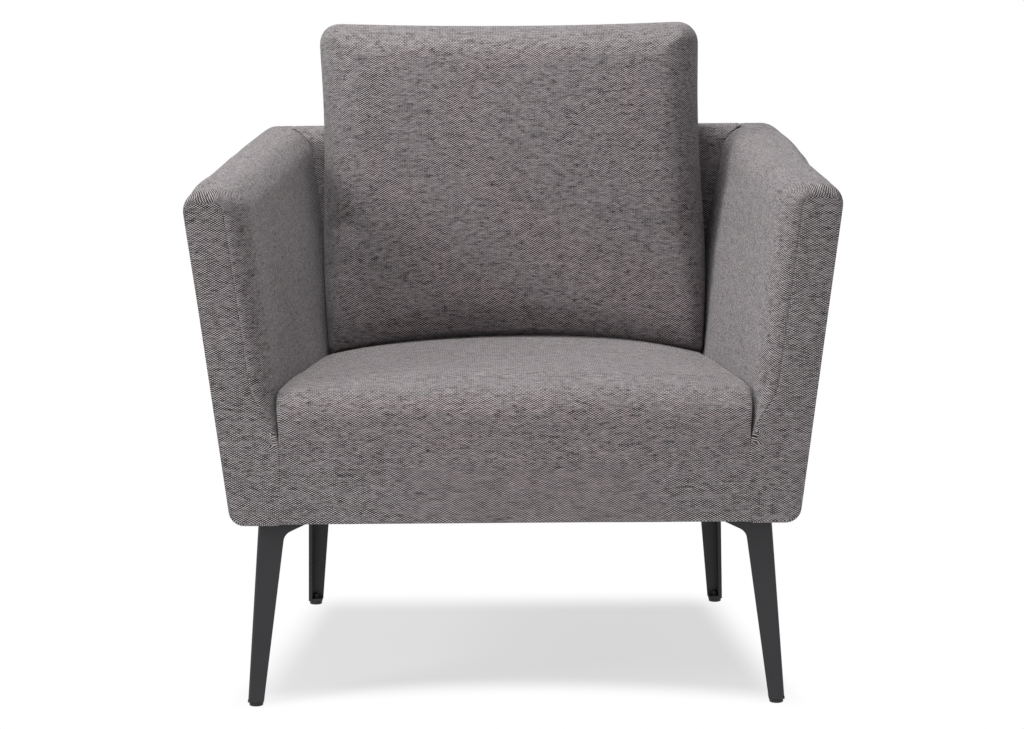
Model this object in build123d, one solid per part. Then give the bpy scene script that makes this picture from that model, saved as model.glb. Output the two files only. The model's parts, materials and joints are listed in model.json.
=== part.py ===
from build123d import *
from itertools import combinations
import math
import os

os.makedirs("parts", exist_ok=True)

# Overall sizes in millimetres, floor at z = 0, front of the chair towards -Y
WIDTH = 820.0
DEPTH = 800.0
HEIGHT = 850.0
LEG_HEIGHT = 247.0
ARM_FRONT_HEIGHT = 675.0
ARM_REAR_HEIGHT = 692.0
SEAT_FRONT_HEIGHT = 422.0
SEAT_REAR_HEIGHT = 404.0

# Slopes of the upholstered shell
ARM_LEAN = 0.127
ARM_TAPER = 0.072
BACK_RAKE = 11.0

# Thickness of the padded walls and the rounding of their edges
ARM_THICKNESS = 76.0
BACK_THICKNESS = 92.0
TOP_ROUND = 30.0
UNDER_ROUND = 17.0
FRONT_ROUND = 8.0

# Covering and clearances
COVER = 2.0
SOFT_FIT = 0.3
PART_GAP = 1.0
FIT = 0.2
DUST_SHEET = 1.0
TURN_UNDER = 26.0

# Padding between the cover and the timber
PAD_OUTER = 14.0
PAD_INNER = 26.0
PAD_TOP = 26.0
PAD_FRONT = 20.0
PAD_REAR = 18.0

# Timber sections
BOARD = 3.0
BOARD_LIFT = 6.0
POST_DEPTH = 50.0
ARM_TOP_RAIL = 45.0
ARM_BASE_RAIL = 62.0
RAIL_WIDTH = 32.0
RAIL_DEPTH = 70.0
BLOCK_LEG = 84.0
BLOCK_DEPTH = 45.0
BACK_FRAME = 34.0
BACK_RAIL = 58.0

# Seat form
SEAT_SIDE_DROP = 36.0
SEAT_ROUND = 46.0
SEAT_CROWN = 6.0
SEAT_SECTIONS = ((-1.0, 1.0), (-0.88, 0.55), (-0.5, 0.16), (0.0, 0.0), (0.5, 0.16), (0.88, 0.55), (1.0, 1.0))

# Serpentine springs
SPRING_COUNT = 4
SPRING_WIRE = 3.6
SPRING_HALF_WIDTH = 17.0
SPRING_TURN = 10.0
SPRING_PITCH = 105.0
CLIP_HEIGHT = 7.0
CLIP_LENGTH = 22.0
CLIP_DEPTH = 18.0
FELT = 3.0
FELT_LIFT = 2.0

# Elastic webbing of the back
WEB_WIDTH = 60.0
WEB_THICKNESS = 2.0
WEB_PITCH = 92.0
WEB_COUNT = 3
WEB_LOW = 175.0

# Loose back cushion
CUSHION_WIDTH = 528.0
CUSHION_THICKNESS = 165.0
CUSHION_SINK = 3.5
CUSHION_CORNER = 40.0
CUSHION_FOOT_CORNER = 70.0
CUSHION_GAP = 0.5
CORNER_EASE = 0.3
INSERT_GAP = 0.7
SIDE_SAG = 3.0
TOP_SAG = 6.0
UNDER_SAG = 15.0
CUSHION_SECTIONS = ((0.0, 20.0), (0.28, 1.0), (0.55, 0.0), (0.82, 14.0), (1.0, 52.0))

# Zip in a trough low on the rear of the cushion
ZIP_LENGTH = 400.0
ZIP_RISE = 78.0
ZIP_TROUGH_WIDTH = 20.0
ZIP_TROUGH_DEPTH = 8.0
ZIP_SLOT = 12.0
ZIP_TAPE = 1.2
ZIP_COIL_WIDTH = 5.0
ZIP_COIL_HEIGHT = 1.6
SLIDER_LENGTH = 12.0
SLIDER_WIDTH = 9.0
SLIDER_HEIGHT = 4.6
SLIDER_END = 24.0
PULL_LENGTH = 22.0
PULL_WIDTH = 5.0
PULL_THICKNESS = 1.2

# Folded plate legs
LEG_PLATE = 5.0
LEG_TOP_WIDTH = 34.0
LEG_FOOT_WIDTH = 20.0
LEG_GUSSET = 68.0
GUSSET_EDGE = 7.0
GUSSET_DROP = 24.0
GUSSET_ROUND = 16.0
LEG_BEND = 4.0
MOUNT_PLATE = 4.0
MOUNT_SIDE = 94.0
FOOT_PLATE = 3.0
FRONT_LEG_SIDE = 82.0
FRONT_LEG_SETBACK = 62.0
FRONT_SPLAY = 17.0
REAR_LEG_SIDE = 113.0
REAR_LEG_SETBACK = 172.0
REAR_SPLAY = 6.0
LEG_RAKE = 17.0
GLIDE_RADIUS = 9.0
GLIDE_HEIGHT = 6.0
GLIDE_STEM_RADIUS = 3.0
GLIDE_STEM = 9.0

# Fasteners
SCREW_RADIUS = 2.4
SCREW_LENGTH = 34.0
SCREW_HEAD_RADIUS = 5.0
SCREW_HEAD = 2.6
SCREW_EDGE = 12.0
SCREW_SPAN_X = 62.0
SCREW_SPAN_Y = 52.0
BOLT_RADIUS = 4.0
BOLT_HEAD_RADIUS = 8.0
BOLT_HEAD = 5.0
NUT_RADIUS = 7.0
NUT_HEIGHT = 7.0
ARM_BOLT_RISE = 38.0
ARM_BOLT_FRONT_SET = 170.0
ARM_BOLT_REAR_SET = 340.0
BACK_BOLT_RISE = 113.0
BACK_BOLT_DROP = 132.0

# Numeric tolerances
NEAR = 1e-4
PARALLEL = 1e-6
PAST = 60.0


class Wall:
    """Flat boundary whose normal points out of the material."""

    def __init__(self, normal, through):
        self.normal = Vector(*normal).normalized()
        self.offset = self.normal.dot(Vector(*through))

    def inset(self, distance):
        return Wall(tuple(self.normal), tuple(self.normal * (self.offset - distance)))

    def facing(self, distance=0.0):
        through = self.normal * (self.offset - distance)
        return Wall(tuple(self.normal * -1), tuple(through))

    def mirrored(self):
        n = self.normal
        return Wall((-n.X, n.Y, n.Z), (-n.X * self.offset, n.Y * self.offset, n.Z * self.offset))

    def holds(self, point):
        return self.normal.dot(point) <= self.offset + NEAR

    def touches(self, point):
        return abs(self.normal.dot(point) - self.offset) < NEAR


def meeting(a, b, c):
    """Point shared by three walls."""
    across = b.normal.cross(c.normal)
    scale_by = 1.0 / a.normal.dot(across)
    second = c.normal.cross(a.normal) * b.offset
    third = a.normal.cross(b.normal) * c.offset
    return (across * a.offset + second + third) * scale_by


def enclosed(*walls):
    """Convex solid filling the space inside every wall."""
    corners = []
    for a, b, c in combinations(walls, 3):
        if abs(a.normal.dot(b.normal.cross(c.normal))) < PARALLEL:
            continue
        point = meeting(a, b, c)
        fresh = all((point - corner).length > NEAR for corner in corners)
        if fresh and all(wall.holds(point) for wall in walls):
            corners.append(point)
    return ConvexPolyhedron(corners)


def edges_on(solid, *walls):
    """Edges lying in all of the given walls."""
    spots = (0.1, 0.5, 0.9)
    return [
        edge
        for edge in solid.edges()
        if all(wall.touches(edge.position_at(spot)) for wall in walls for spot in spots)
    ]


def flipped(solid):
    """The same piece on the other side of the chair."""
    return mirror(solid, about=Plane.YZ)


def group(solids):
    return Compound(children=[Solid(solid.solid().wrapped) for solid in solids])


def save(name, shape):
    shape.label = name
    export_step(shape, os.path.join("parts", name + ".step"))


# Walls of the right arm
rake = math.radians(BACK_RAKE)
lean = Vector(1.0, ARM_TAPER, -ARM_LEAN).normalized()
round_centre = Vector(WIDTH / 2 - TOP_ROUND, -DEPTH / 2, ARM_FRONT_HEIGHT - TOP_ROUND)
arm_outer = Wall(tuple(lean), tuple(round_centre + lean * TOP_ROUND))
arm_inner = arm_outer.facing(ARM_THICKNESS)
shell_front = Wall((0, -1, 0), (0, -DEPTH / 2, 0))
shell_under = Wall((0, 0, -1), (0, 0, LEG_HEIGHT))
arm_top = Wall((0, ARM_FRONT_HEIGHT - ARM_REAR_HEIGHT, DEPTH), (0, -DEPTH / 2, ARM_FRONT_HEIGHT))
back_normal = Vector(0, math.cos(rake), -math.sin(rake))
rear_centre = Vector(0, DEPTH / 2 - TOP_ROUND, ARM_REAR_HEIGHT - TOP_ROUND)
shell_rear = Wall(tuple(back_normal), tuple(rear_centre + back_normal * TOP_ROUND))
ARM_WALLS = (arm_outer, arm_inner, shell_front, shell_rear, shell_under, arm_top)

# Walls of the back, held between the two arms
back_right = arm_inner.facing().inset(PART_GAP)
back_left = back_right.mirrored()
back_front = shell_rear.facing(BACK_THICKNESS)
back_top = Wall((0, 0, 1), (0, 0, ARM_REAR_HEIGHT))
timber_under = shell_under.inset(COVER)


def arm_form(inset):
    outer, inner, front, rear, under, top = [wall.inset(inset) for wall in ARM_WALLS]
    form = enclosed(outer, inner, front, rear, under, top)
    crown = edges_on(form, outer, top) + edges_on(form, inner, top)
    crown += edges_on(form, rear, top) + edges_on(form, outer, rear)
    form = fillet(crown, TOP_ROUND - inset)
    form = fillet(edges_on(form, outer, under), UNDER_ROUND - inset)
    rim = [edge for edge in edges_on(form, front) if not under.touches(edge.position_at(0.5))]
    return fillet(rim, FRONT_ROUND - inset)


def back_form(inset):
    front, rear, top = [wall.inset(inset) for wall in (back_front, shell_rear, back_top)]
    sides = [wall.inset(inset) for wall in (back_left, back_right)]
    form = enclosed(front, rear, top, shell_under.inset(inset), *sides)
    return fillet(edges_on(form, front, top) + edges_on(form, rear, top), TOP_ROUND - inset)


# Arm timber: posts, rails and the thin boards over them
frame_outer = arm_outer.inset(PAD_OUTER)
frame_inner = arm_inner.inset(PAD_INNER)
frame_front = shell_front.inset(PAD_FRONT)
frame_rear = shell_rear.inset(PAD_REAR)
frame_top = arm_top.inset(PAD_TOP)
bar_outer = frame_outer.inset(BOARD)
bar_inner = frame_inner.inset(BOARD)

arm_frame = enclosed(frame_outer, frame_inner, frame_front, frame_rear, frame_top, timber_under)
front_post_rear = frame_front.facing(POST_DEPTH)
rear_post_front = frame_rear.facing(POST_DEPTH)
arm_front_post = enclosed(bar_outer, bar_inner, frame_front, front_post_rear, frame_top, timber_under)
arm_rear_post = enclosed(bar_outer, bar_inner, rear_post_front, frame_rear, frame_top, timber_under)
between = (bar_outer, bar_inner, front_post_rear.facing(), rear_post_front.facing())
arm_top_rail = enclosed(*between, frame_top, frame_top.facing(ARM_TOP_RAIL))
arm_base_rail = enclosed(*between, timber_under, timber_under.facing(ARM_BASE_RAIL))
board_edges = (frame_front, frame_rear, frame_top, timber_under.inset(BOARD_LIFT))
arm_outer_board = enclosed(frame_outer, frame_outer.facing(BOARD), *board_edges)
arm_inner_board = enclosed(frame_inner, frame_inner.facing(BOARD), *board_edges)

# Arm padding and cover, both open below the timber
pocket_walls = [wall.inset(-FIT) for wall in (frame_outer, frame_inner, frame_front, frame_rear, frame_top)]
arm_pocket = enclosed(*pocket_walls, shell_under.inset(-PAST))
arm_foam = arm_form(COVER + SOFT_FIT) - arm_pocket
hem_walls = [wall.inset(TURN_UNDER) for wall in (arm_outer, arm_inner, shell_front, shell_rear)]
arm_window = enclosed(*hem_walls, shell_under.inset(-PAST), timber_under.facing().inset(-FIT))
arm_cover = arm_form(0) - arm_form(COVER) - arm_window

# Back timber, webbing, padding and cover
back_frame_front = back_front.inset(PAD_INNER)
back_bar_front = back_frame_front.inset(WEB_THICKNESS)
back_bar_rear = back_bar_front.facing(BACK_FRAME)
back_frame_right = back_right.inset(COVER + FIT)
back_frame_left = back_left.inset(COVER + FIT)
back_frame_top = back_top.inset(PAD_TOP)
bar_faces = (back_bar_front, back_bar_rear)
post_right_inner = back_frame_right.facing(POST_DEPTH)
post_left_inner = back_frame_left.facing(POST_DEPTH)
back_right_post = enclosed(*bar_faces, back_frame_right, post_right_inner, back_frame_top, timber_under)
back_left_post = enclosed(*bar_faces, back_frame_left, post_left_inner, back_frame_top, timber_under)
post_gap = (post_right_inner.facing(), post_left_inner.facing())
back_top_rail = enclosed(*bar_faces, *post_gap, back_frame_top, back_frame_top.facing(BACK_RAIL))
back_base_rail = enclosed(*bar_faces, *post_gap, timber_under, timber_under.facing(BACK_RAIL))
back_board_rear = back_bar_rear.inset(-BOARD)
back_edges = (back_frame_left, back_frame_right, back_frame_top, timber_under)
back_board = enclosed(back_bar_rear.facing(), back_board_rear, *back_edges)

web_top = Wall((0, 0, 1), (0, 0, LEG_HEIGHT + WEB_LOW + WEB_WIDTH))
web_base = Wall((0, 0, -1), (0, 0, LEG_HEIGHT + WEB_LOW))
back_webbing = [
    enclosed(
        back_frame_front,
        back_bar_front.facing(),
        back_frame_left,
        back_frame_right,
        web_top.inset(-WEB_PITCH * step),
        web_base.inset(WEB_PITCH * step),
    )
    for step in range(WEB_COUNT)
]

back_pocket = enclosed(
    back_frame_front.inset(-FIT),
    back_board_rear.inset(-FIT),
    back_frame_top.inset(-FIT),
    back_left.inset(-PAST),
    back_right.inset(-PAST),
    shell_under.inset(-PAST),
)
back_foam = back_form(COVER + SOFT_FIT) - back_pocket
back_hem = [wall.inset(TURN_UNDER) for wall in (back_left, back_right, back_front, shell_rear)]
back_window = enclosed(*back_hem, shell_under.inset(-PAST), timber_under.facing().inset(-FIT))
back_cover = back_form(0) - back_form(COVER) - back_window

# Seat outline: sides follow the arms, rear follows the back
seat_right = arm_inner.facing().inset(PART_GAP)
seat_left = seat_right.mirrored()
seat_rear = back_front.facing().inset(PART_GAP)


def seat_point(share, inset, y, z):
    """Point on one lengthwise section; share runs from -1 at the left side to 1 at the right."""
    n = seat_right.normal
    half = (seat_right.offset - inset - n.Y * y - n.Z * z) / n.X
    return Vector(share * half, y, z)


def seat_rear_y(inset, z):
    n = seat_rear.normal
    return (seat_rear.offset - inset - n.Z * z) / n.Y


def seat_section(share, drop, inset, floor):
    """Closed outline of the seat in one lengthwise plane."""
    front = -DEPTH / 2 + inset
    turn = SEAT_ROUND - inset
    front_top = SEAT_FRONT_HEIGHT - inset - drop
    rear_top = SEAT_REAR_HEIGHT - inset - drop
    bend = turn * (1 - math.sqrt(0.5))
    rear = seat_rear_y(inset, rear_top)
    middle = (front + turn + rear) / 2
    middle_top = (front_top + rear_top) / 2 + SEAT_CROWN

    def at(y, z):
        return seat_point(share, inset, y, z)

    edges = (
        Edge.make_line(at(front, floor), at(front, front_top - turn)),
        Edge.make_three_point_arc(
            at(front, front_top - turn), at(front + bend, front_top - bend), at(front + turn, front_top)
        ),
        Edge.make_three_point_arc(at(front + turn, front_top), at(middle, middle_top), at(rear, rear_top)),
        Edge.make_line(at(rear, rear_top), at(seat_rear_y(inset, floor), floor)),
        Edge.make_line(at(seat_rear_y(inset, floor), floor), at(front, floor)),
    )
    return Wire(edges)


def seat_form(inset, floor):
    wires = [seat_section(share, SEAT_SIDE_DROP * fall, inset, floor) for share, fall in SEAT_SECTIONS]
    return Part(Solid.make_loft(wires).wrapped)


# Seat base frame
base_right = seat_right.inset(COVER + FIT)
base_left = seat_left.inset(COVER + FIT)
base_front = shell_front.inset(PAD_FRONT)
base_rear_y = seat_rear_y(COVER + FIT, LEG_HEIGHT)
base_rear = Wall((0, 1, 0), (0, base_rear_y, 0))
base_top = timber_under.facing(RAIL_DEPTH)
rail_levels = (timber_under, base_top)
front_rail_rear = base_front.facing(RAIL_WIDTH)
rear_rail_front = base_rear.facing(RAIL_WIDTH)
side_gap = (front_rail_rear.facing(), rear_rail_front.facing())
right_rail_inner = base_right.facing(RAIL_WIDTH)
front_rail = enclosed(*rail_levels, base_left, base_right, base_front, front_rail_rear)
rear_rail = enclosed(*rail_levels, base_left, base_right, rear_rail_front, base_rear)
right_side_rail = enclosed(*rail_levels, *side_gap, base_right, right_rail_inner)


def corner_block(end_wall, along):
    """Right-angled glue block tucked behind a side rail and an end rail."""
    corner = meeting(right_rail_inner, end_wall, timber_under)
    slant = Wall((-1, along, 0), tuple(corner - Vector(BLOCK_LEG, 0, 0)))
    levels = (timber_under, timber_under.facing(BLOCK_DEPTH))
    return enclosed(*levels, right_rail_inner.facing(), end_wall.facing(), slant)


front_block = corner_block(front_rail_rear, 1)
rear_block = corner_block(rear_rail_front, -1)
corner_blocks = [front_block, rear_block, flipped(front_block), flipped(rear_block)]

# Serpentine springs held in clips on the front and rear rails
rail_top_z = LEG_HEIGHT + COVER + RAIL_DEPTH
spring_z = rail_top_z + CLIP_HEIGHT / 2
spring_start = -DEPTH / 2 + PAD_FRONT + RAIL_WIDTH / 2
spring_end = base_rear_y - RAIL_WIDTH / 2
spring_runs = 2 * round((spring_end - spring_start) / (4 * SPRING_TURN))
spring_step = (spring_end - spring_start) / spring_runs
spring_turn = spring_step / 2


def serpentine(centre_x):
    edges = []
    side = 1
    for run in range(spring_runs + 1):
        y = spring_start + run * spring_step
        here = centre_x - side * SPRING_HALF_WIDTH
        there = centre_x + side * SPRING_HALF_WIDTH
        edges.append(Edge.make_line((here, y, spring_z), (there, y, spring_z)))
        if run < spring_runs:
            tip = (there + side * spring_turn, y + spring_turn, spring_z)
            edges.append(
                Edge.make_three_point_arc((there, y, spring_z), tip, (there, y + spring_step, spring_z))
            )
        side = -side
    path = Wire(edges)
    section = Plane(origin=path @ 0, z_dir=path % 0) * Circle(SPRING_WIRE / 2)
    return sweep(section, path=path)


def spring_clip(centre_x, y):
    block = Pos(centre_x, y, spring_z) * Box(CLIP_LENGTH, CLIP_DEPTH, CLIP_HEIGHT)
    bore = Pos(centre_x, y, spring_z) * Rot(0, 90, 0) * Cylinder(SPRING_WIRE / 2 + FIT, 2 * CLIP_LENGTH)
    return block - bore


spring_xs = [SPRING_PITCH * (step - (SPRING_COUNT - 1) / 2) for step in range(SPRING_COUNT)]
seat_springs = [serpentine(x) for x in spring_xs]
spring_clips = [spring_clip(x, y) for x in spring_xs for y in (spring_start, spring_end)]

# Felt over the springs, seat padding and seat cover
felt_z = rail_top_z + CLIP_HEIGHT + FELT_LIFT
felt_under = Wall((0, 0, -1), (0, 0, felt_z))
felt_top = felt_under.facing(FELT)
spring_felt = enclosed(base_left, base_right, base_front, base_rear, felt_under, felt_top)
seat_floor = LEG_HEIGHT
padding_floor = felt_top.inset(-FIT)
seat_bay = enclosed(
    padding_floor,
    shell_under.inset(-PAST),
    base_front.inset(-FIT),
    seat_rear.inset(-PAST),
    seat_left.inset(-PAST),
    seat_right.inset(-PAST),
)
seat_foam = seat_form(COVER + SOFT_FIT, LEG_HEIGHT + COVER) - seat_bay
seat_cover = seat_form(0, seat_floor) - seat_form(COVER, seat_floor - PAST)

# Dust sheet under the whole shell
sheet_sides = [wall.inset(TURN_UNDER / 2) for wall in (arm_outer, arm_outer.mirrored(), shell_front, shell_rear)]
dust_cover = enclosed(*sheet_sides, shell_under.facing(), shell_under.inset(-DUST_SHEET))

# Legs: two folded plates meeting on a leaning outer edge, with a mounting plate and a foot plate
leg_top = LEG_HEIGHT - DUST_SHEET
mount_under = leg_top - MOUNT_PLATE


def leg_panel(head, foot, inward, depth):
    """One tapered plate of the leg with its gusset at the head."""
    fall = foot - head
    neck_share = GUSSET_DROP / leg_top
    neck = head + fall * neck_share + inward * LEG_TOP_WIDTH
    edge_share = GUSSET_EDGE / leg_top
    over = fall * (LEG_PLATE / leg_top)
    outline = (
        head - over,
        foot + over,
        foot + over + inward * LEG_FOOT_WIDTH,
        neck,
        head + fall * edge_share + inward * LEG_GUSSET,
        head - over + inward * LEG_GUSSET,
    )
    panel = Face(Wire.make_polygon(outline))
    corner = panel.vertices().sort_by_distance(neck)[0]
    panel = panel.fillet_2d(GUSSET_ROUND, [corner])
    across = fall.cross(inward).normalized()
    if across.dot(depth) < 0:
        across = across * -1
    return Part(Solid.extrude(panel, across * LEG_PLATE).wrapped)


def mount_spots(x, y, along):
    """Screw positions of one mounting plate."""
    near_x = x - SCREW_EDGE
    near_y = y + along * SCREW_EDGE * 2
    return [
        (spot_x, spot_y)
        for spot_x in (near_x, near_x - SCREW_SPAN_X)
        for spot_y in (near_y, near_y + along * SCREW_SPAN_Y)
    ]


def foot_centre(x, y, splay, along):
    return (
        x + splay - LEG_FOOT_WIDTH / 2,
        y - along * LEG_RAKE + along * LEG_FOOT_WIDTH / 2,
    )


def leg(x, y, splay, along):
    """Right-hand leg; along is 1 when the chair lies behind it and -1 when it lies in front."""
    head = Vector(x, y, leg_top)
    foot = Vector(x + splay, y - along * LEG_RAKE, GLIDE_HEIGHT)
    inward_x = Vector(-1, 0, 0)
    inward_y = Vector(0, along, 0)
    body = leg_panel(head, foot, inward_x, inward_y) + leg_panel(head, foot, inward_y, inward_x)
    span = 4 * LEG_GUSSET
    rise = leg_top - GLIDE_HEIGHT
    body = body & Pos(x, y, GLIDE_HEIGHT + rise / 2) * Box(span, span, rise)
    half = MOUNT_SIDE / 2
    plate = Pos(x - half, y + along * half, leg_top - MOUNT_PLATE / 2) * Box(MOUNT_SIDE, MOUNT_SIDE, MOUNT_PLATE)
    foot_x, foot_y = foot_centre(x, y, splay, along)
    sole = Pos(foot_x, foot_y, GLIDE_HEIGHT + FOOT_PLATE / 2) * Box(LEG_FOOT_WIDTH, LEG_FOOT_WIDTH, FOOT_PLATE)
    spine = [edge for edge in body.edges() if (edge @ 0.5 - (head + foot) * 0.5).length < LEG_BEND]
    body = fillet(spine, LEG_BEND) + plate + sole
    for spot_x, spot_y in mount_spots(x, y, along):
        body -= Pos(spot_x, spot_y, leg_top) * Cylinder(SCREW_RADIUS + FIT, 4 * MOUNT_PLATE)
    return body - Pos(foot_x, foot_y, GLIDE_HEIGHT) * Cylinder(GLIDE_STEM_RADIUS + FIT, 4 * FOOT_PLATE)


def glide(x, y, splay, along):
    foot_x, foot_y = foot_centre(x, y, splay, along)
    low = (Align.CENTER, Align.CENTER, Align.MIN)
    pad = fillet(Cylinder(GLIDE_RADIUS, GLIDE_HEIGHT, align=low).edges().group_by(Axis.Z)[0], GLIDE_HEIGHT / 4)
    return Pos(foot_x, foot_y, 0) * (pad + Cylinder(GLIDE_STEM_RADIUS, GLIDE_HEIGHT + GLIDE_STEM, align=low))


def leg_screw(spot_x, spot_y):
    low = (Align.CENTER, Align.CENTER, Align.MIN)
    high = (Align.CENTER, Align.CENTER, Align.MAX)
    shank = Pos(spot_x, spot_y, mount_under) * Cylinder(SCREW_RADIUS, SCREW_LENGTH, align=low)
    head = Cylinder(SCREW_HEAD_RADIUS, SCREW_HEAD, align=high)
    head = fillet(head.edges().group_by(Axis.Z)[0], SCREW_HEAD / 2)
    return shank + Pos(spot_x, spot_y, mount_under) * head


front_place = (WIDTH / 2 - FRONT_LEG_SIDE, FRONT_LEG_SETBACK - DEPTH / 2, FRONT_SPLAY, 1)
rear_place = (WIDTH / 2 - REAR_LEG_SIDE, DEPTH / 2 - REAR_LEG_SETBACK, REAR_SPLAY, -1)
front_leg = leg(*front_place)
rear_leg = leg(*rear_place)
front_glide = glide(*front_place)
rear_glide = glide(*rear_place)
screw_spots = [spot for x, y, _, along in (front_place, rear_place) for spot in mount_spots(x, y, along)]
right_screws = [leg_screw(*spot) for spot in screw_spots]
leg_screws = right_screws + [flipped(screw) for screw in right_screws]
screw_bores = [
    Pos(spot_x, spot_y, mount_under) * Cylinder(SCREW_RADIUS + FIT, 2 * SCREW_LENGTH + 2 * FIT)
    for spot_x, spot_y in screw_spots
]

# Bolts tying the seat frame and the back to the arms, square to the arm faces
bolt_direction = arm_outer.normal


def bolt_plane(y, z, wall):
    """Frame on the given wall at a height and depth, looking outwards through the arm."""
    n = wall.normal
    x = (wall.offset - n.Y * y - n.Z * z) / n.X
    return Plane(origin=(x, y, z), x_dir=(0, 1, 0), z_dir=tuple(bolt_direction))


def bolt_length(inner_wall):
    reach = bar_outer.offset - NUT_HEIGHT / 2
    return reach - inner_wall.facing().offset


def bolt(y, z, inner_wall):
    """Bolt and nut pair with its head against the inner wall."""
    place = bolt_plane(y, z, inner_wall)
    low = (Align.CENTER, Align.CENTER, Align.MIN)
    high = (Align.CENTER, Align.CENTER, Align.MAX)
    length = bolt_length(inner_wall)
    shank = Cylinder(BOLT_RADIUS, length, align=low)
    head = Cylinder(BOLT_HEAD_RADIUS, BOLT_HEAD, align=high)
    nut_base = bar_outer.offset - NUT_HEIGHT - inner_wall.facing().offset
    nut = extrude(RegularPolygon(NUT_RADIUS, 6), NUT_HEIGHT) - Cylinder(BOLT_RADIUS + FIT, 4 * NUT_HEIGHT)
    bore = Pos(0, 0, -FIT) * Cylinder(BOLT_RADIUS + FIT, length + 2 * FIT, align=low)
    seat = Pos(0, 0, nut_base) * Cylinder(NUT_RADIUS + FIT, NUT_HEIGHT + FIT, align=low)
    return place * (shank + head), place * (Pos(0, 0, nut_base) * nut), place * (bore + seat)


arm_bolt_z = LEG_HEIGHT + ARM_BOLT_RISE
arm_bolt_lines = (ARM_BOLT_FRONT_SET - DEPTH / 2, DEPTH / 2 - ARM_BOLT_REAR_SET)
arm_places = [bolt(y, arm_bolt_z, right_rail_inner) for y in arm_bolt_lines]


def back_bolt_y(z):
    n = back_bar_front.normal
    middle = back_bar_front.inset(BACK_FRAME / 2)
    return (middle.offset - n.Z * z) / n.Y


back_bolt_heights = (LEG_HEIGHT + BACK_BOLT_RISE, ARM_REAR_HEIGHT - BACK_BOLT_DROP)
back_places = [bolt(back_bolt_y(z), z, post_right_inner) for z in back_bolt_heights]
frame_bolts = [place[0] for place in arm_places + back_places]
frame_nuts = [place[1] for place in arm_places + back_places]
bolt_bores = [place[2] for place in arm_places + back_places]


def drilled(piece, bores):
    for bore in bores:
        piece -= bore
    return piece


both_screw_bores = screw_bores + [flipped(bore) for bore in screw_bores]
both_bolt_bores = bolt_bores + [flipped(bore) for bore in bolt_bores]
arm_front_post = drilled(arm_front_post, screw_bores + bolt_bores)
arm_rear_post = drilled(arm_rear_post, screw_bores + bolt_bores)
arm_base_rail = drilled(arm_base_rail, screw_bores + bolt_bores)
arm_inner_board = drilled(arm_inner_board, bolt_bores)
arm_outer_board = drilled(arm_outer_board, bolt_bores)
arm_foam = drilled(arm_foam, bolt_bores)
arm_cover = drilled(arm_cover, bolt_bores + screw_bores)
right_side_rail = drilled(right_side_rail, screw_bores + bolt_bores)
left_side_rail = flipped(right_side_rail)
front_rail = drilled(front_rail, both_screw_bores)
rear_rail = drilled(rear_rail, both_screw_bores)
corner_blocks = [drilled(block, both_screw_bores) for block in corner_blocks]
seat_cover = drilled(seat_cover, both_bolt_bores + both_screw_bores)
back_right_post = drilled(back_right_post, bolt_bores + screw_bores)
back_left_post = drilled(back_left_post, [flipped(bore) for bore in bolt_bores + screw_bores])
back_cover = drilled(back_cover, both_bolt_bores + both_screw_bores)
dust_cover = drilled(dust_cover, both_screw_bores)

# Loose cushion, in a frame lying on the front face of the back
cushion_rest = SEAT_REAR_HEIGHT - CUSHION_SINK
back_foot = meeting(back_front, Wall((1, 0, 0), (0, 0, 0)), Wall((0, 0, 1), (0, 0, cushion_rest)))
cushion_frame = Plane(
    origin=back_foot + back_front.normal * CUSHION_GAP,
    x_dir=(1, 0, 0),
    z_dir=tuple(back_front.normal),
)
peak = max(
    share * CUSHION_THICKNESS * math.sin(rake) - pull * math.cos(rake) for share, pull in CUSHION_SECTIONS
)
cushion_rise = (HEIGHT - cushion_rest - CUSHION_GAP * math.sin(rake) - peak) / math.cos(rake)


def cushion_section(share, pull, inset):
    """Rounded outline of the cushion at one depth, with its edges drawn in between the corners."""
    depth = inset + share * (CUSHION_THICKNESS - 2 * inset)
    half = CUSHION_WIDTH / 2 - inset - pull
    low = inset + pull - depth * math.tan(rake)
    high = cushion_rise - inset - pull
    turn = CUSHION_CORNER - inset + CORNER_EASE * pull
    foot_turn = CUSHION_FOOT_CORNER - inset + CORNER_EASE * pull
    bend = turn * (1 - math.sqrt(0.5))
    foot_bend = foot_turn * (1 - math.sqrt(0.5))
    middle = (low + high) / 2
    left_low = (-half, low + foot_turn)
    under_left = (-half + foot_turn, low)
    under_right = (half - foot_turn, low)
    right_low = (half, low + foot_turn)
    right_high = (half, high - turn)
    top_right = (half - turn, high)
    top_left = (-half + turn, high)
    left_high = (-half, high - turn)
    spans = (
        (under_left, (0, low + UNDER_SAG), under_right),
        (under_right, (half - foot_bend, low + foot_bend), right_low),
        (right_low, (half - SIDE_SAG, middle), right_high),
        (right_high, (half - bend, high - bend), top_right),
        (top_right, (0, high - TOP_SAG), top_left),
        (top_left, (-half + bend, high - bend), left_high),
        (left_high, (-half + SIDE_SAG, middle), left_low),
        (left_low, (-half + foot_bend, low + foot_bend), under_left),
    )
    edges = [
        Edge.make_three_point_arc(*[cushion_frame.from_local_coords(Vector(*spot, depth)) for spot in span])
        for span in spans
    ]
    return Wire(edges)


def cushion_form(inset):
    wires = [cushion_section(share, pull, inset) for share, pull in CUSHION_SECTIONS]
    form = Part(Solid.make_loft(wires).wrapped)
    trough = Box(
        ZIP_LENGTH + ZIP_TROUGH_WIDTH + 2 * inset,
        ZIP_TROUGH_WIDTH + 2 * inset,
        2 * (ZIP_TROUGH_DEPTH + inset),
    )
    return form - cushion_frame * Pos(0, ZIP_RISE, 0) * trough


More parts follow.
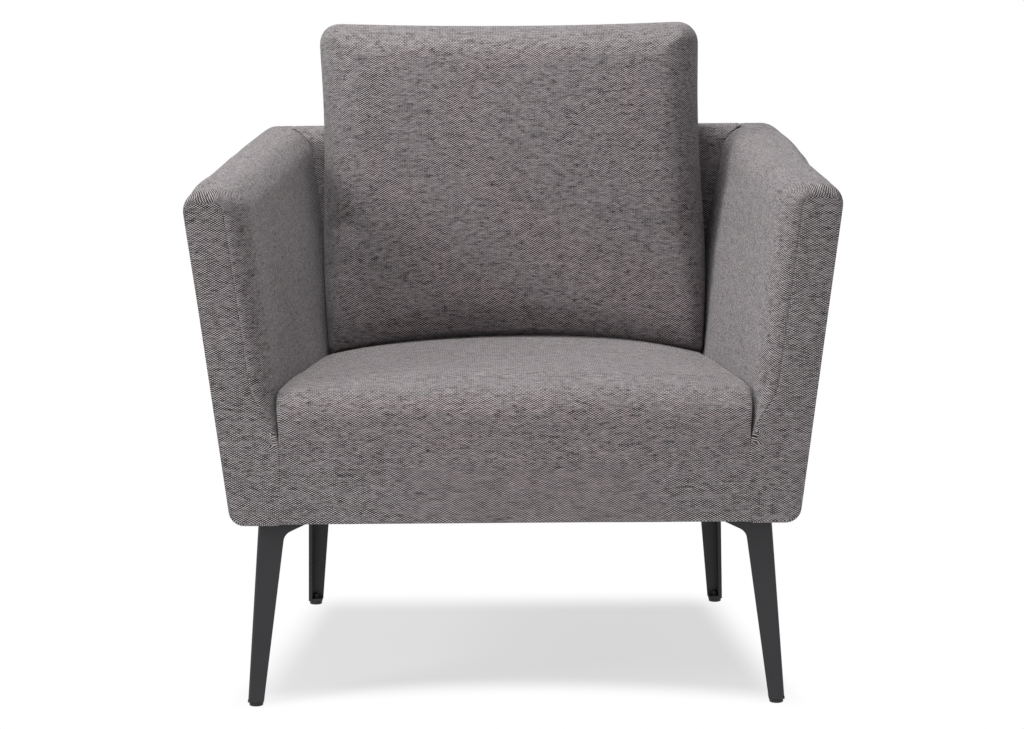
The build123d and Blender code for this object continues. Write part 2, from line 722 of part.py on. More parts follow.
slot = Box(ZIP_LENGTH, ZIP_SLOT, 4 * COVER)
cushion_cover = cushion_form(0) - cushion_form(COVER)
cushion_cover -= cushion_frame * Pos(0, ZIP_RISE, ZIP_TROUGH_DEPTH) * slot
cushion_insert = cushion_form(COVER + INSERT_GAP)

# Zip: tape filling the slot, coil along it, slider straddling the coil
high = (Align.CENTER, Align.CENTER, Align.MAX)
low = (Align.CENTER, Align.CENTER, Align.MIN)
tape = Box(ZIP_LENGTH - 2 * FIT, ZIP_SLOT - 2 * FIT, ZIP_TAPE, align=low)
coil = Box(ZIP_LENGTH - 2 * FIT, ZIP_COIL_WIDTH, ZIP_COIL_HEIGHT, align=high)
zip_frame = cushion_frame * Pos(0, ZIP_RISE, ZIP_TROUGH_DEPTH)
cushion_zip = zip_frame * (tape + coil)
slider_shell = Pos(0, 0, -FIT) * Box(SLIDER_LENGTH, SLIDER_WIDTH, SLIDER_HEIGHT, align=high)
slider_way = Box(2 * SLIDER_LENGTH, ZIP_COIL_WIDTH + 2 * FIT, 2 * (ZIP_COIL_HEIGHT + FIT))
pull_tab = Box(PULL_LENGTH, PULL_WIDTH, PULL_THICKNESS, align=(Align.MIN, Align.CENTER, Align.MAX))
pull_tab = Pos(SLIDER_LENGTH / 4, 0, -FIT - SLIDER_HEIGHT) * pull_tab
slider_start = -ZIP_LENGTH / 2 + SLIDER_END
zip_slider = zip_frame * Pos(slider_start, 0, 0) * (slider_shell - slider_way + pull_tab)

pieces = {
    "front_rail": front_rail,
    "rear_rail": rear_rail,
    "left_side_rail": left_side_rail,
    "right_side_rail": right_side_rail,
    "corner_blocks": group(corner_blocks),
    "seat_springs": group(seat_springs),
    "spring_clips": group(spring_clips),
    "spring_felt": spring_felt,
    "seat_foam": seat_foam,
    "seat_cover": seat_cover,
    "dust_cover": dust_cover,
    "back_left_post": back_left_post,
    "back_right_post": back_right_post,
    "back_top_rail": back_top_rail,
    "back_base_rail": back_base_rail,
    "back_board": back_board,
    "back_webbing": group(back_webbing),
    "back_foam": back_foam,
    "back_cover": back_cover,
    "front_right_leg": front_leg,
    "rear_right_leg": rear_leg,
    "front_left_leg": flipped(front_leg),
    "rear_left_leg": flipped(rear_leg),
    "front_right_glide": front_glide,
    "rear_right_glide": rear_glide,
    "front_left_glide": flipped(front_glide),
    "rear_left_glide": flipped(rear_glide),
    "leg_screws": group(leg_screws),
    "frame_bolts": group(frame_bolts + [flipped(piece) for piece in frame_bolts]),
    "frame_nuts": group(frame_nuts + [flipped(piece) for piece in frame_nuts]),
    "cushion_cover": cushion_cover,
    "cushion_insert": cushion_insert,
    "cushion_zip": cushion_zip,
    "zip_slider": zip_slider,
}

right_arm = {
    "front_post": arm_front_post,
    "rear_post": arm_rear_post,
    "top_rail": arm_top_rail,
    "base_rail": arm_base_rail,
    "inner_board": arm_inner_board,
    "outer_board": arm_outer_board,
    "foam": arm_foam,
    "cover": arm_cover,
}

for name, piece in right_arm.items():
    pieces["right_arm_" + name] = piece
    pieces["left_arm_" + name] = flipped(piece)

for name, piece in pieces.items():
    save(name, piece)
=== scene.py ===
import json
import math

import bmesh
import bpy
import numpy as np
from mathutils import Matrix, Vector


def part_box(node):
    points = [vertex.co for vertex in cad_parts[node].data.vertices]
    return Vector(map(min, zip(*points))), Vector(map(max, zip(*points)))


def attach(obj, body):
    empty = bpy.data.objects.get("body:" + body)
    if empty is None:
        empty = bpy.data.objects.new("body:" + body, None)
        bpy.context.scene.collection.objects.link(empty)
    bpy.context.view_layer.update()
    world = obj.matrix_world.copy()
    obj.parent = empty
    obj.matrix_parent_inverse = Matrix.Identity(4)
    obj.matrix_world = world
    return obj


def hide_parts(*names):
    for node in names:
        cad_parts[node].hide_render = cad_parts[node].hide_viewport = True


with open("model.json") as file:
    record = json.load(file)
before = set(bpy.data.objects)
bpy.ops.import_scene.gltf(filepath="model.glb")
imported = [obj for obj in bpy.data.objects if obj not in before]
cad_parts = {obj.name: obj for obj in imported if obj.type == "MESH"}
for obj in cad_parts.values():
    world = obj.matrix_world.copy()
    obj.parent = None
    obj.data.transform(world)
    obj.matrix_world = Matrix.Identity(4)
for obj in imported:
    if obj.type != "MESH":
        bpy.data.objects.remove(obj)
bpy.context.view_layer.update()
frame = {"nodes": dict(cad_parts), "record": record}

bl_info = {
    "name": "Upholstered armchair",
    "version": (1, 0, 0),
    "blender": (4, 5, 0),
    "location": "View3D > Sidebar > Armchair",
    "description": "Dresses the packed armchair with its cloth, padding, seams, metal and studio",
    "category": "Object",
}


# Sizes and finishes a user would change

def number(name, description, default, **kind):
    return bpy.props.FloatProperty(name=name, description=description, default=default, **kind)


def length(name, description, default):
    return number(name, description, default, unit='LENGTH')


def angle(name, description, degrees):
    return number(name, description, math.radians(degrees), subtype='ANGLE')


def colour(name, description, default):
    return bpy.props.FloatVectorProperty(
        name=name, description=description, default=default, subtype='COLOR', size=3, min=0.0, max=1.0)


class ArmchairSizes(bpy.types.PropertyGroup):
    """Shape of the upholstery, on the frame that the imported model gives."""
    arm_lean: number("Arm lean", "Outward lean of the arms per unit of height", 0.127)
    arm_taper: number("Arm taper", "Inward run of the arms per unit of depth", 0.072)
    arm_thickness: length("Arm thickness", "Across the padded arm", 0.076)
    arm_front_height: length("Arm front height", "Top of the arm at its front", 0.675)
    arm_rear_height: length("Arm rear height", "Top of the arm at its rear", 0.692)
    top_round: length("Top rounding", "Rounding along the top of arms and back", 0.030)
    back_rake: angle("Back rake", "Lean of the back from upright", 11.0)
    back_thickness: length("Back thickness", "Through the padded back", 0.092)
    seat_front: length("Seat front height", "Crown of the seat at its front", 0.422)
    seat_rear: length("Seat rear height", "Crown of the seat at its rear", 0.404)
    seat_round: length("Seat front rounding", "Rounding of the seat's front edge", 0.046)
    cushion_width: length("Cushion width", "Across the loose cushion", 0.546)
    cushion_thickness: length("Cushion thickness", "Through the middle of the cushion", 0.165)
    cushion_rest: length("Cushion rest height", "Height of the cushion's lower edge", 0.4005)


class ArmchairFinish(bpy.types.PropertyGroup):
    """Colours and scales of the finishes."""
    yarn_light: colour("Light yarn", "Palest fibres of the tweed", (0.65, 0.598, 0.607))
    yarn_dark: colour("Dark yarn", "Darkest fibres of the tweed", (0.012, 0.010, 0.0105))
    float_pitch: length("Float pitch", "Repeat of the weave along the weft", 0.0047)
    pick_pitch: length("Pick pitch", "Spacing of the weft yarns", 0.00142)
    metal: colour("Leg coating", "Powder coat of the legs", (0.0130, 0.0122, 0.0146))
    timber: colour("Timber", "Frame timber", (0.50, 0.34, 0.19))


class ArmchairStage(bpy.types.PropertyGroup):
    """Camera and studio light."""
    lens: number("Lens", "Focal length on a 36 mm sensor", 111.3)
    camera_place: bpy.props.FloatVectorProperty(
        name="Camera place", description="Where the camera stands", subtype='XYZ', size=3,
        default=(-0.0026, -4.313, 1.046))
    camera_pitch: angle("Camera pitch", "Downward tilt", 8.66)
    camera_roll: angle("Camera roll", "Turn about the line of sight", -0.39)
    key_power: number("Key power", "Large soft light from the left", 66.0, unit='POWER')
    top_power: number("Top power", "Overhead soft light", 78.0, unit='POWER')
    fill_power: number("Fill power", "Weak light from the front", 8.0, unit='POWER')
    ambient: number("Ambient", "Strength of the plain white surroundings", 0.26, subtype='FACTOR')


def sizes():
    return bpy.context.scene.armchair_sizes


def finish_of():
    return bpy.context.scene.armchair_finish


def stage_of():
    return bpy.context.scene.armchair_stage


# Lines of the shell, shared by all padded pieces

HALF_WIDTH = 0.41
ARM_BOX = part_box("right_arm_cover")
CUSHION_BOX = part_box("cushion_cover")
SHEET_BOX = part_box("dust_cover")
DEPTH_HALF, UNDER_Z = -ARM_BOX[0][1], ARM_BOX[0][2]


def rear_y(z):
    """Depth of the leaning rear face at a height."""
    s = sizes()
    rake, r = s.back_rake, s.top_round
    d = math.cos(rake) * (DEPTH_HALF - r) - math.sin(rake) * (s.arm_rear_height - r) + r
    return (d + math.sin(rake) * z) / math.cos(rake)


def arm_slant():
    """Run across the width per unit of the arm's own thickness."""
    s = sizes()
    return math.sqrt(1 + s.arm_lean ** 2 + s.arm_taper ** 2)


def outer_x(y, z):
    """Half width of the shell over the outer faces of the arms."""
    s = sizes()
    front, top, r = -DEPTH_HALF, s.arm_front_height, s.top_round
    base = HALF_WIDTH - r + s.arm_taper * front - s.arm_lean * (top - r) + r * arm_slant()
    return base - s.arm_taper * y + s.arm_lean * z


def inner_x(y, z):
    """Half width between the inner faces of the arms."""
    return outer_x(y, z) - sizes().arm_thickness * arm_slant()


def back_y(z):
    """Depth of the front face of the back at a height."""
    s = sizes()
    return rear_y(z) - s.back_thickness / math.cos(s.back_rake)


def arm_top(y):
    s = sizes()
    share = (y + DEPTH_HALF) / (2 * DEPTH_HALF)
    return s.arm_front_height + share * (s.arm_rear_height - s.arm_front_height)


# Small mesh kit

def smooth(x):
    x = np.clip(x, 0.0, 1.0)
    return x * x * (3 - 2 * x)


def ripple(points, wavelength, seed, waves=14):
    """Smooth field of about unit size made of seeded plane waves."""
    rng = np.random.default_rng(seed)
    field = np.zeros(points.shape[:-1])
    for _ in range(waves):
        way = rng.normal(size=3)
        way /= np.linalg.norm(way)
        stretch = rng.uniform(0.7, 1.5)
        field += np.sin(points @ way * (2 * math.pi / wavelength) * stretch + rng.uniform(0, 2 * math.pi))
    return field / math.sqrt(waves)


def rounded_loop(corners, radii, arc_steps=8, edge_steps=10):
    """Closed loop of points round a convex outline with one radius per corner."""
    corners = [np.array(c, float) for c in corners]
    count = len(corners)
    arcs = []
    for i, corner in enumerate(corners):
        back = corners[i - 1] - corner
        ahead = corners[(i + 1) % count] - corner
        back /= np.linalg.norm(back)
        ahead /= np.linalg.norm(ahead)
        half = math.acos(np.clip(back @ ahead, -1, 1)) / 2
        run = radii[i] / math.tan(half)
        bisector = (back + ahead) / np.linalg.norm(back + ahead)
        centre = corner + bisector * radii[i] / math.sin(half)
        start = corner + back * run - centre
        sweep = math.pi - 2 * half
        turn = np.sign(back[0] * ahead[1] - back[1] * ahead[0]) * -1
        arc = []
        for k in range(arc_steps + 1):
            a = turn * sweep * k / arc_steps
            c, s = math.cos(a), math.sin(a)
            arc.append(centre + np.array([c * start[0] - s * start[1], s * start[0] + c * start[1]]))
        arcs.append(arc)
    loop = []
    for i, arc in enumerate(arcs):
        loop.extend(arc)
        last, first = arc[-1], arcs[(i + 1) % count][0]
        loop.extend(last + (first - last) * k / edge_steps for k in range(1, edge_steps))
    return np.array(loop)


def cross(line_a, line_b):
    """Meeting point of two lines given as (normal x, normal y, offset)."""
    a, b, c = line_a
    d, e, f = line_b
    det = a * e - b * d
    return np.array([(c * e - b * f) / det, (a * f - c * d) / det])


def linked(name, data):
    """A new object in the scene."""
    piece = bpy.data.objects.new(name, data)
    bpy.context.scene.collection.objects.link(piece)
    return piece


class Patch:
    """Collects quads with metric cloth coordinates and turns them into a mesh object."""

    def __init__(self):
        self.points, self.faces, self.cloth = [], [], []
        self.size = 0

    def grid(self, places, weft, warp, wrap=False):
        rows, cols = places.shape[:2]
        base = self.size
        self.points.append(places.reshape(-1, 3))
        self.size += rows * cols
        last = cols if wrap else cols - 1
        for r in range(rows - 1):
            for c in range(last):
                n = (c + 1) % cols
                self.faces.append((
                    base + r * cols + c, base + r * cols + n,
                    base + (r + 1) * cols + n, base + (r + 1) * cols + c))
                self.cloth.append((
                    (weft[r, c], warp[r, c]), (weft[r, c + 1], warp[r, c + 1]),
                    (weft[r + 1, c + 1], warp[r + 1, c + 1]), (weft[r + 1, c], warp[r + 1, c])))
        return base

    def lid(self, base, cols, row, weft, warp):
        """Flat lid over one ring of a wrapped grid."""
        ring = [base + row * cols + c for c in range(cols)]
        self.faces.append(tuple(ring))
        self.cloth.append(tuple((weft[c], warp[c]) for c in range(cols)))

    def build(self, name, material, weld=None):
        mesh = bpy.data.meshes.new(name)
        mesh.from_pydata(np.concatenate(self.points).tolist(), [], self.faces)
        layer = mesh.uv_layers.new(name="cloth")
        flat = [value for face in self.cloth for corner in face for value in corner]
        layer.data.foreach_set("uv", flat)
        mesh.materials.append(material)
        work = bmesh.new()
        work.from_mesh(mesh)
        if weld:
            bmesh.ops.remove_doubles(work, verts=work.verts, dist=weld)
        bmesh.ops.recalc_face_normals(work, faces=work.faces)
        bmesh.ops.triangulate(work, faces=[f for f in work.faces if len(f.verts) > 4])
        work.to_mesh(mesh)
        work.free()
        mesh.polygons.foreach_set("use_smooth", [True] * len(mesh.polygons))
        return linked(name, mesh)


def ring_lengths(places):
    """Running length round each ring, with one more column that closes it."""
    closed = np.concatenate([places, places[:, :1]], axis=1)
    step = np.linalg.norm(np.diff(closed, axis=1), axis=2)
    return np.concatenate([np.zeros((len(places), 1)), np.cumsum(step, axis=1)], axis=1)


def row_lengths(places):
    """Running length from row to row, nought at the middle row, with a closing column."""
    step = np.linalg.norm(np.diff(places, axis=0), axis=2)
    run = np.concatenate([np.zeros((1, places.shape[1])), np.cumsum(step, axis=0)], axis=0)
    run = run - run[len(run) // 2]
    return np.concatenate([run, run[:, :1]], axis=1)


def bend_share(steps):
    """Angles of a quarter turn."""
    return np.linspace(0.0, math.pi / 2, steps)


def points_of(mesh):
    """Vertex places of a mesh as rows."""
    flat = np.empty(len(mesh.vertices) * 3)
    mesh.vertices.foreach_get("co", flat)
    return flat.reshape(-1, 3)


SWELL_FRAMES = 20


def settle(piece, cap, share, along, pressure):
    """Swells a closed pad as cloth; each point moves by its share, one way, within the cap."""
    scene = bpy.context.scene
    before = points_of(piece.data)
    modifier = piece.modifiers.new("swell", 'CLOTH')
    cloth = modifier.settings
    cloth.quality = 5
    cloth.mass = 0.25
    cloth.tension_stiffness = 25.0
    cloth.compression_stiffness = 25.0
    cloth.shear_stiffness = 12.0
    cloth.bending_stiffness = 0.8
    cloth.use_pressure = True
    cloth.uniform_pressure_force = pressure
    cloth.effector_weights.gravity = 0.0
    modifier.point_cache.frame_start = 1
    modifier.point_cache.frame_end = SWELL_FRAMES
    for step in range(1, SWELL_FRAMES + 1):
        scene.frame_set(step)
    swelled = piece.evaluated_get(bpy.context.evaluated_depsgraph_get())
    rise = (points_of(swelled.data) - before) @ along
    piece.modifiers.remove(modifier)
    scene.frame_set(1)
    move = cap * np.tanh(np.maximum(rise, -0.001) / cap) * share
    piece.data.vertices.foreach_set("co", (before + move[:, None] * along).ravel())
    piece.data.update()


def refine(piece):
    modifier = piece.modifiers.new("fine", 'SUBSURF')
    modifier.levels = 1
    modifier.render_levels = 1
    modifier.boundary_smooth = 'PRESERVE_CORNERS'


# Shader arithmetic

class NodeBoard:
    """One node tree; a node gets its settings first, then the values or links of its sockets."""

    def __init__(self, tree):
        self.tree = tree

    def node(self, kind, settings=None, sockets=None):
        node = self.tree.nodes.new(kind)
        for key, value in (settings or {}).items():
            setattr(node, key, value)
        for key, value in (sockets or {}).items():
            self.feed(node.inputs[key], value)
        return node

    def feed(self, socket, value):
        if isinstance(value, Term):
            value = value.socket
        if isinstance(value, bpy.types.NodeSocket):
            self.tree.links.new(value, socket)
        else:
            socket.default_value = value

    def term(self, node, output=0):
        return Term(self, node.outputs[output])

    def maths(self, operation, *values):
        return self.term(self.node('ShaderNodeMath', {"operation": operation}, dict(enumerate(values))))

    def vector(self, x, y, z):
        return self.node('ShaderNodeCombineXYZ', sockets={0: x, 1: y, 2: z}).outputs[0]

    def split(self, socket):
        node = self.node('ShaderNodeSeparateXYZ', sockets={0: socket})
        return [self.term(node, axis) for axis in range(3)]

    def seen_ray(self):
        """1 where the eye looks, straight or by way of gloss or glass."""
        path = self.node('ShaderNodeLightPath')
        seen = self.maths('MAXIMUM', path.outputs['Is Camera Ray'], path.outputs['Is Glossy Ray'])
        return self.maths('MAXIMUM', seen, path.outputs['Is Transmission Ray'])


class Term:
    """A value on a socket that can be written as plain arithmetic."""

    def __init__(self, board, socket):
        self.board, self.socket = board, socket

    def __add__(self, other):
        return self.board.maths('ADD', self, other)

    def __sub__(self, other):
        return self.board.maths('SUBTRACT', self, other)

    def __rsub__(self, other):
        return self.board.maths('SUBTRACT', other, self)

    def __mul__(self, other):
        return self.board.maths('MULTIPLY', self, other)

    __radd__ = __add__
    __rmul__ = __mul__

    def wave(self):
        """Triangle wave from 0 to 1 with a period of 1."""
        return self.board.maths('PINGPONG', self, 0.5) * 2.0

    def size(self):
        return self.board.maths('ABSOLUTE', self)

    def clamp(self):
        return self.board.term(self.board.node('ShaderNodeClamp', sockets={0: self}))

    def between(self, low, high):
        """Smooth step from 0 at low to 1 at high."""
        return self.board.term(self.board.node(
            'ShaderNodeMapRange', {"interpolation_type": 'SMOOTHSTEP'},
            {'Value': self, 'From Min': low, 'From Max': high}))


class Finish(NodeBoard):
    """A material with its principled shader ready to be fed."""

    def __init__(self, name, **constants):
        self.material = bpy.data.materials.new(name)
        self.material.use_nodes = True
        super().__init__(self.material.node_tree)
        self.shader = self.tree.nodes["Principled BSDF"]
        for key, value in constants.items():
            self.feed(self.shader.inputs[key.replace("_", " ")], value)

    def place(self, kind):
        """Three terms of the piece's own coordinates, in metres."""
        if kind == "cloth":
            return self.split(self.node('ShaderNodeUVMap', {"uv_map": "cloth"}).outputs[0])
        return self.split(self.node('ShaderNodeTexCoord').outputs['Object'])

    def noise(self, x, y, z=0.0, detail=2.0, rough=0.5, seed=0.0):
        """Noise from about 0 to 1 at unit scale of the given terms."""
        return self.term(self.node('ShaderNodeTexNoise', {"noise_dimensions": '4D'}, {
            'Vector': self.vector(x, y, z), 'W': seed, 'Scale': 1.0,
            'Detail': detail, 'Roughness': rough}))

    def speckle(self, scale, stretch=(1.0, 1.0, 1.0), **settings):
        """Noise on the piece's own coordinates, so many times to the metre."""
        x, y, z = (axis * (scale * part) for axis, part in zip(self.place("object"), stretch))
        return self.noise(x, y, z, **settings)

    def colour(self, factor, low, high):
        mix = self.node('ShaderNodeMix', {"data_type": 'RGBA'}, {
            'Factor': factor, 'A': (*low, 1.0), 'B': (*high, 1.0)})
        self.feed(self.shader.inputs['Base Color'], mix.outputs['Result'])

    def rough(self, term):
        self.feed(self.shader.inputs['Roughness'], term)

    def bump(self, height, distance, strength=1.0):
        node = self.node('ShaderNodeBump', sockets={
            'Strength': strength, 'Distance': distance, 'Height': height})
        self.feed(self.shader.inputs['Normal'], node.outputs[0])


def tweed():
    """Heathered basket weave: staggered floats of light and dark yarn, mixed along the weft."""
    look = finish_of()
    f = Finish(
        "woven_tweed", Roughness=0.92, Sheen_Weight=0.12, Sheen_Roughness=0.5, Specular_IOR_Level=0.18)
    weft, warp, _ = f.place("cloth")
    p, q = weft * 1000.0, warp * 1000.0
    drift = f.noise(p * 0.03, q * 0.03, seed=3.1) * 1.6
    along = (p + drift * 1.5) * (0.001 / look.float_pitch)
    across = (q + drift) * (0.0005 / look.pick_pitch)
    floats = (along + across).wave() + (along - across).wave() - 1.0
    lively = f.noise(p * 0.10, q * 0.22, seed=8.3, detail=1.0).between(0.30, 0.62)
    slub = f.noise(p * 0.10, q * 0.62, seed=1.7, detail=2.0, rough=0.6)
    grain = f.noise(p * 0.17, q * 0.55, seed=5.5, detail=1.0)
    band = f.noise(p * 0.012, q * 0.11, seed=6.1, detail=2.0)
    tone = (
        floats * (lively * 1.50 + 1.25) + (slub - 0.5) * 1.90 + (grain - 0.5) * 1.40
        + (band - 0.5) * 0.40 + 0.16
    ).clamp()
    f.colour(tone, look.yarn_dark, look.yarn_light)
    f.bump(floats * 0.3 + slub, 0.0006, 0.3)
    return f.material


def plain_cloth(name, low, high, scale, **constants):
    """Fine non-woven or felt cloth."""
    f = Finish(name, Specular_IOR_Level=0.2, **constants)
    fibre = f.speckle(scale, detail=4.0, rough=0.7)
    wide = f.speckle(scale * 0.05, seed=4.0)
    f.colour((fibre * 0.7 + wide * 0.5 - 0.1).clamp(), low, high)
    f.bump(fibre, 0.0005, 0.5)
    return f.material


def powder_coat():
    look = finish_of()
    f = Finish("powder_coat", Specular_IOR_Level=0.45)
    grain = f.speckle(900.0, detail=2.0)
    wide = f.speckle(18.0, seed=6.0)
    scuff = f.place("object")[2].between(0.05, 0.0)
    dull = f.speckle(120.0, (1.0, 1.0, 0.5), seed=2.0, detail=4.0, rough=0.7)
    tone = (wide * 0.5 + scuff * dull * 0.7).clamp()
    f.colour(tone, look.metal, tuple(min(1.0, c * 2.6 + 0.004) for c in look.metal))
    f.rough((grain * 0.12 + wide * 0.08 + 0.38).clamp())
    f.bump(grain, 0.00012, 0.35)
    return f.material


def moulded_plastic():
    f = Finish("moulded_plastic", Specular_IOR_Level=0.4)
    pit = f.speckle(1400.0, detail=2.0)
    foot = f.place("object")[2].between(0.003, 0.0)
    worn = foot * f.speckle(300.0, (1.0, 1.0, 0.0), seed=3.0, detail=3.0)
    f.colour((pit * 0.3 + worn).clamp(), (0.012, 0.012, 0.013), (0.07, 0.068, 0.065))
    f.rough((pit * 0.2 + worn * 0.2 + 0.42).clamp())
    f.bump(pit, 0.00008, 0.4)
    return f.material


def plated(name, low, high, roughness):
    f = Finish(name, Metallic=1.0)
    spangle = f.speckle(260.0, detail=3.0, rough=0.65)
    stain = f.speckle(40.0, seed=7.0)
    f.colour((spangle * 0.6 + stain * 0.5 - 0.05).clamp(), low, high)
    f.rough((spangle * 0.2 + roughness).clamp())
    f.bump(spangle, 0.00005, 0.3)
    return f.material


def timber(name, scale=1.0, dark=0.55):
    look = finish_of()
    f = Finish(name, Specular_IOR_Level=0.3)
    x, _, z = f.place("object")
    bend = f.speckle(6.0, seed=1.0) * 0.02
    rings = ((x + z * 0.6 + bend) * (90.0 * scale)).wave()
    pores = f.speckle(60.0, (15.0, 1.0, 15.0), detail=3.0, rough=0.7)
    shade = tuple(c * dark for c in look.timber)
    f.colour((rings * 0.45 + pores * 0.6 - 0.05).clamp(), shade, look.timber)
    f.rough((pores * 0.2 + 0.55).clamp())
    f.bump(pores, 0.0002, 0.5)
    return f.material


# Padded pieces

ARM_ROLL = 0.014
INNER_ROLL = 0.048
REAR_ROLL = 0.030
PANEL_EDGE = (0.0030, 0.015, 0.026, 0.003)
PANEL_RADII = (0.018, 0.012, 0.013, 0.003)
ARM_RADII = (0.022, 0.022, 0.036, 0.004)
SEAM_LOW, SEAM_HIGH = 0.352, 0.425
SEAM_DEPTH, SEAM_STEP = 0.0012, 0.0014


def clear_sheet(places):
    """Lifts the undersides of covers where the dust sheet lies over them."""
    x, y, z = places[..., 0], places[..., 1], places[..., 2]
    low, high = SHEET_BOX
    half = high[0] - sizes().arm_taper * (y - low[1])
    inside = smooth((half + 0.005 - np.abs(x)) / 0.004)
    inside = inside * smooth((y - low[1] + 0.005) / 0.004) * smooth((high[1] + 0.005 - y) / 0.004)
    lift = np.maximum(UNDER_Z + 0.0008 - z, 0.0)
    places[..., 2] = z + lift * inside


def arm_inner(z):
    """Inner face of the arm at the front of its outline, upright below the end of the seat's slit."""
    return inner_x(-DEPTH_HALF, np.maximum(z, SEAM_LOW))


def arm_loop(insets, radii):
    """Outline of the right arm across its length, at the front, with one inset per side."""
    s = sizes()
    front = -DEPTH_HALF
    z_low, z_top = UNDER_Z - 0.002, s.arm_front_height
    slope = 1.0 / math.sqrt(1 + s.arm_lean ** 2)
    outer_base = outer_x(front, 0.0)
    inner_base = inner_x(front, 0.0)
    outer = (slope, -s.arm_lean * slope, outer_base * slope - insets[0])
    top = (0.0, 1.0, z_top - insets[1])
    inner = (-slope, s.arm_lean * slope, -inner_base * slope - insets[2])
    base = (0.0, -1.0, -z_low - insets[3])
    corners = [cross(base, outer), cross(outer, top), cross(top, inner), cross(inner, base)]
    loop = rounded_loop(corners, radii, arc_steps=9, edge_steps=40)
    x, z = loop[:, 0], loop[:, 1]
    far = outer_base + s.arm_lean * z - insets[0] / slope
    near = inner_base + s.arm_lean * z + insets[2] / slope
    side = np.clip((far - x) / (far - near), 0, 1)
    low = 1 - smooth((z - SEAM_LOW) / (SEAM_HIGH - SEAM_LOW))
    upright = arm_inner(z) - (inner_base + s.arm_lean * z)
    loop[:, 0] = x + (upright - insets[2] / slope * low) * side
    return loop


def flare(y, z, side):
    """Outward spread of an arm towards its rear top, where it runs into the back."""
    top, low = (0.016, 0.007) if side > 0 else (0.006, 0.003)
    return top * smooth((y + 0.35) / 0.75) * smooth((z - 0.45) / 0.24) + low * smooth((y + 0.30) / 0.55)


def arm_place(loop, share, shift=0.0):
    """Puts a front outline at a share of the arm's length, moved along it by a shift."""
    s = sizes()
    front = -DEPTH_HALF
    z_low = UNDER_Z
    x, z = loop[:, 0], loop[:, 1]
    y = front + share * (rear_y(z) - front) + shift
    grow = (arm_top(y) - z_low) / (s.arm_front_height - z_low)
    z_new = z_low + (z - z_low) * grow
    y = front + share * (rear_y(z_new) - front) + shift
    x_new = x + s.arm_lean * (z_new - z) - s.arm_taper * (y - front)
    return np.stack([x_new, y, z_new], axis=1)


def inner_share(loop):
    """How far each point of the outline lies towards the inner face, from 0 to 1."""
    x, z = loop[:, 0], loop[:, 1]
    far = outer_x(-DEPTH_HALF, z)
    return smooth((far - x) / (far - arm_inner(z)) * 1.6 - 0.5) * smooth((z - SEAM_LOW) / 0.05)


def seam_ease(loop):
    """Share of the seam's depth round the panel: none at the outer edge and under it."""
    x, z = loop[:, 0], loop[:, 1]
    inward = outer_x(-DEPTH_HALF, z) - x
    return smooth((inward - 0.006) / 0.012) * smooth((z - UNDER_Z - 0.01) / 0.02)


def arm_wrap_rings():
    """Rings of the arm's wrap from the seam at its front panel to the middle of its rear end."""
    edge = np.array(PANEL_EDGE)
    rings = []
    seam = arm_loop(edge, PANEL_RADII)
    ease = seam_ease(seam)
    rings.append(arm_place(seam, 0.0, SEAM_DEPTH * ease))
    rings.append(arm_place(arm_loop(edge - 0.0004, PANEL_RADII), 0.0, 0.0008 * ease))
    rings.append(arm_place(arm_loop(edge - SEAM_STEP, PANEL_RADII), 0.0, 0.0002 * ease))
    full = arm_loop((0, 0, 0, 0), ARM_RADII)
    roll = ARM_ROLL + (INNER_ROLL - ARM_ROLL) * inner_share(full)
    for turn in bend_share(12)[1:]:
        keep = 1 - math.sin(turn)
        radii = [a + (b - a) * keep for a, b in zip(ARM_RADII, PANEL_RADII)]
        loop = arm_loop((edge - SEAM_STEP) * keep, radii)
        rings.append(arm_place(loop, 0.0, roll * (1 - math.cos(turn))))
    stop = 1.0 - REAR_ROLL / (2 * DEPTH_HALF)
    for along in np.linspace(0, 1, 72)[1:]:
        rings.append(arm_place(full, along * stop, roll * (1 - along)))
    tail = np.array((0.030, 0.030, 0.010, 0.014))
    for turn in bend_share(10)[1:]:
        pull = 1 - math.cos(turn)
        radii = [max(0.004, r - REAR_ROLL * pull * 0.86) for r in ARM_RADII]
        rings.append(arm_place(arm_loop(tail * pull, radii), 1.0, REAR_ROLL * (math.sin(turn) - 1)))
    end = rings[-1]
    z = np.clip(end[:, 2], UNDER_Z + 0.045, sizes().arm_rear_height - 0.060)
    y = rear_y(z)
    x = (outer_x(y, z) - tail[0] + inner_x(y, np.maximum(z, SEAM_LOW)) + tail[2]) / 2
    spine = np.stack([x, y, z], axis=1)
    rings.extend(end + (spine - end) * share for share in (0.2, 0.45, 0.7, 0.9, 0.97))
    return np.array(rings)


def arm_panel_rings():
    """Rings of the flat front panel from its seam to its middle."""
    edge = np.array(PANEL_EDGE)
    ease = seam_ease(arm_loop(edge, PANEL_RADII))
    steps = (
        (0.0, SEAM_DEPTH), (0.0004, 0.0007), (SEAM_STEP, 0.0001), (0.0032, -0.0003), (0.0062, -0.0007),
        (0.0100, -0.0011), (0.0140, -0.0013), (0.0175, -0.0014), (0.0195, -0.0014),
    )
    rings = []
    for more, depth in steps:
        radii = [max(0.0015, r - more * 0.8) for r in PANEL_RADII]
        fall = depth * ease if depth > 0 else depth
        rings.append(arm_place(arm_loop(edge + more, radii), 0.0, fall))
    return np.array(rings)


def pushed(places, push):
    """Moves the points of wrapped rings along their outward normals."""
    across = np.roll(places, -1, axis=1) - np.roll(places, 1, axis=1)
    along = np.gradient(places, axis=0)
    normal = np.cross(across, along)
    normal /= np.maximum(np.linalg.norm(normal, axis=2, keepdims=True), 1e-9)
    return places + normal * push[..., None]


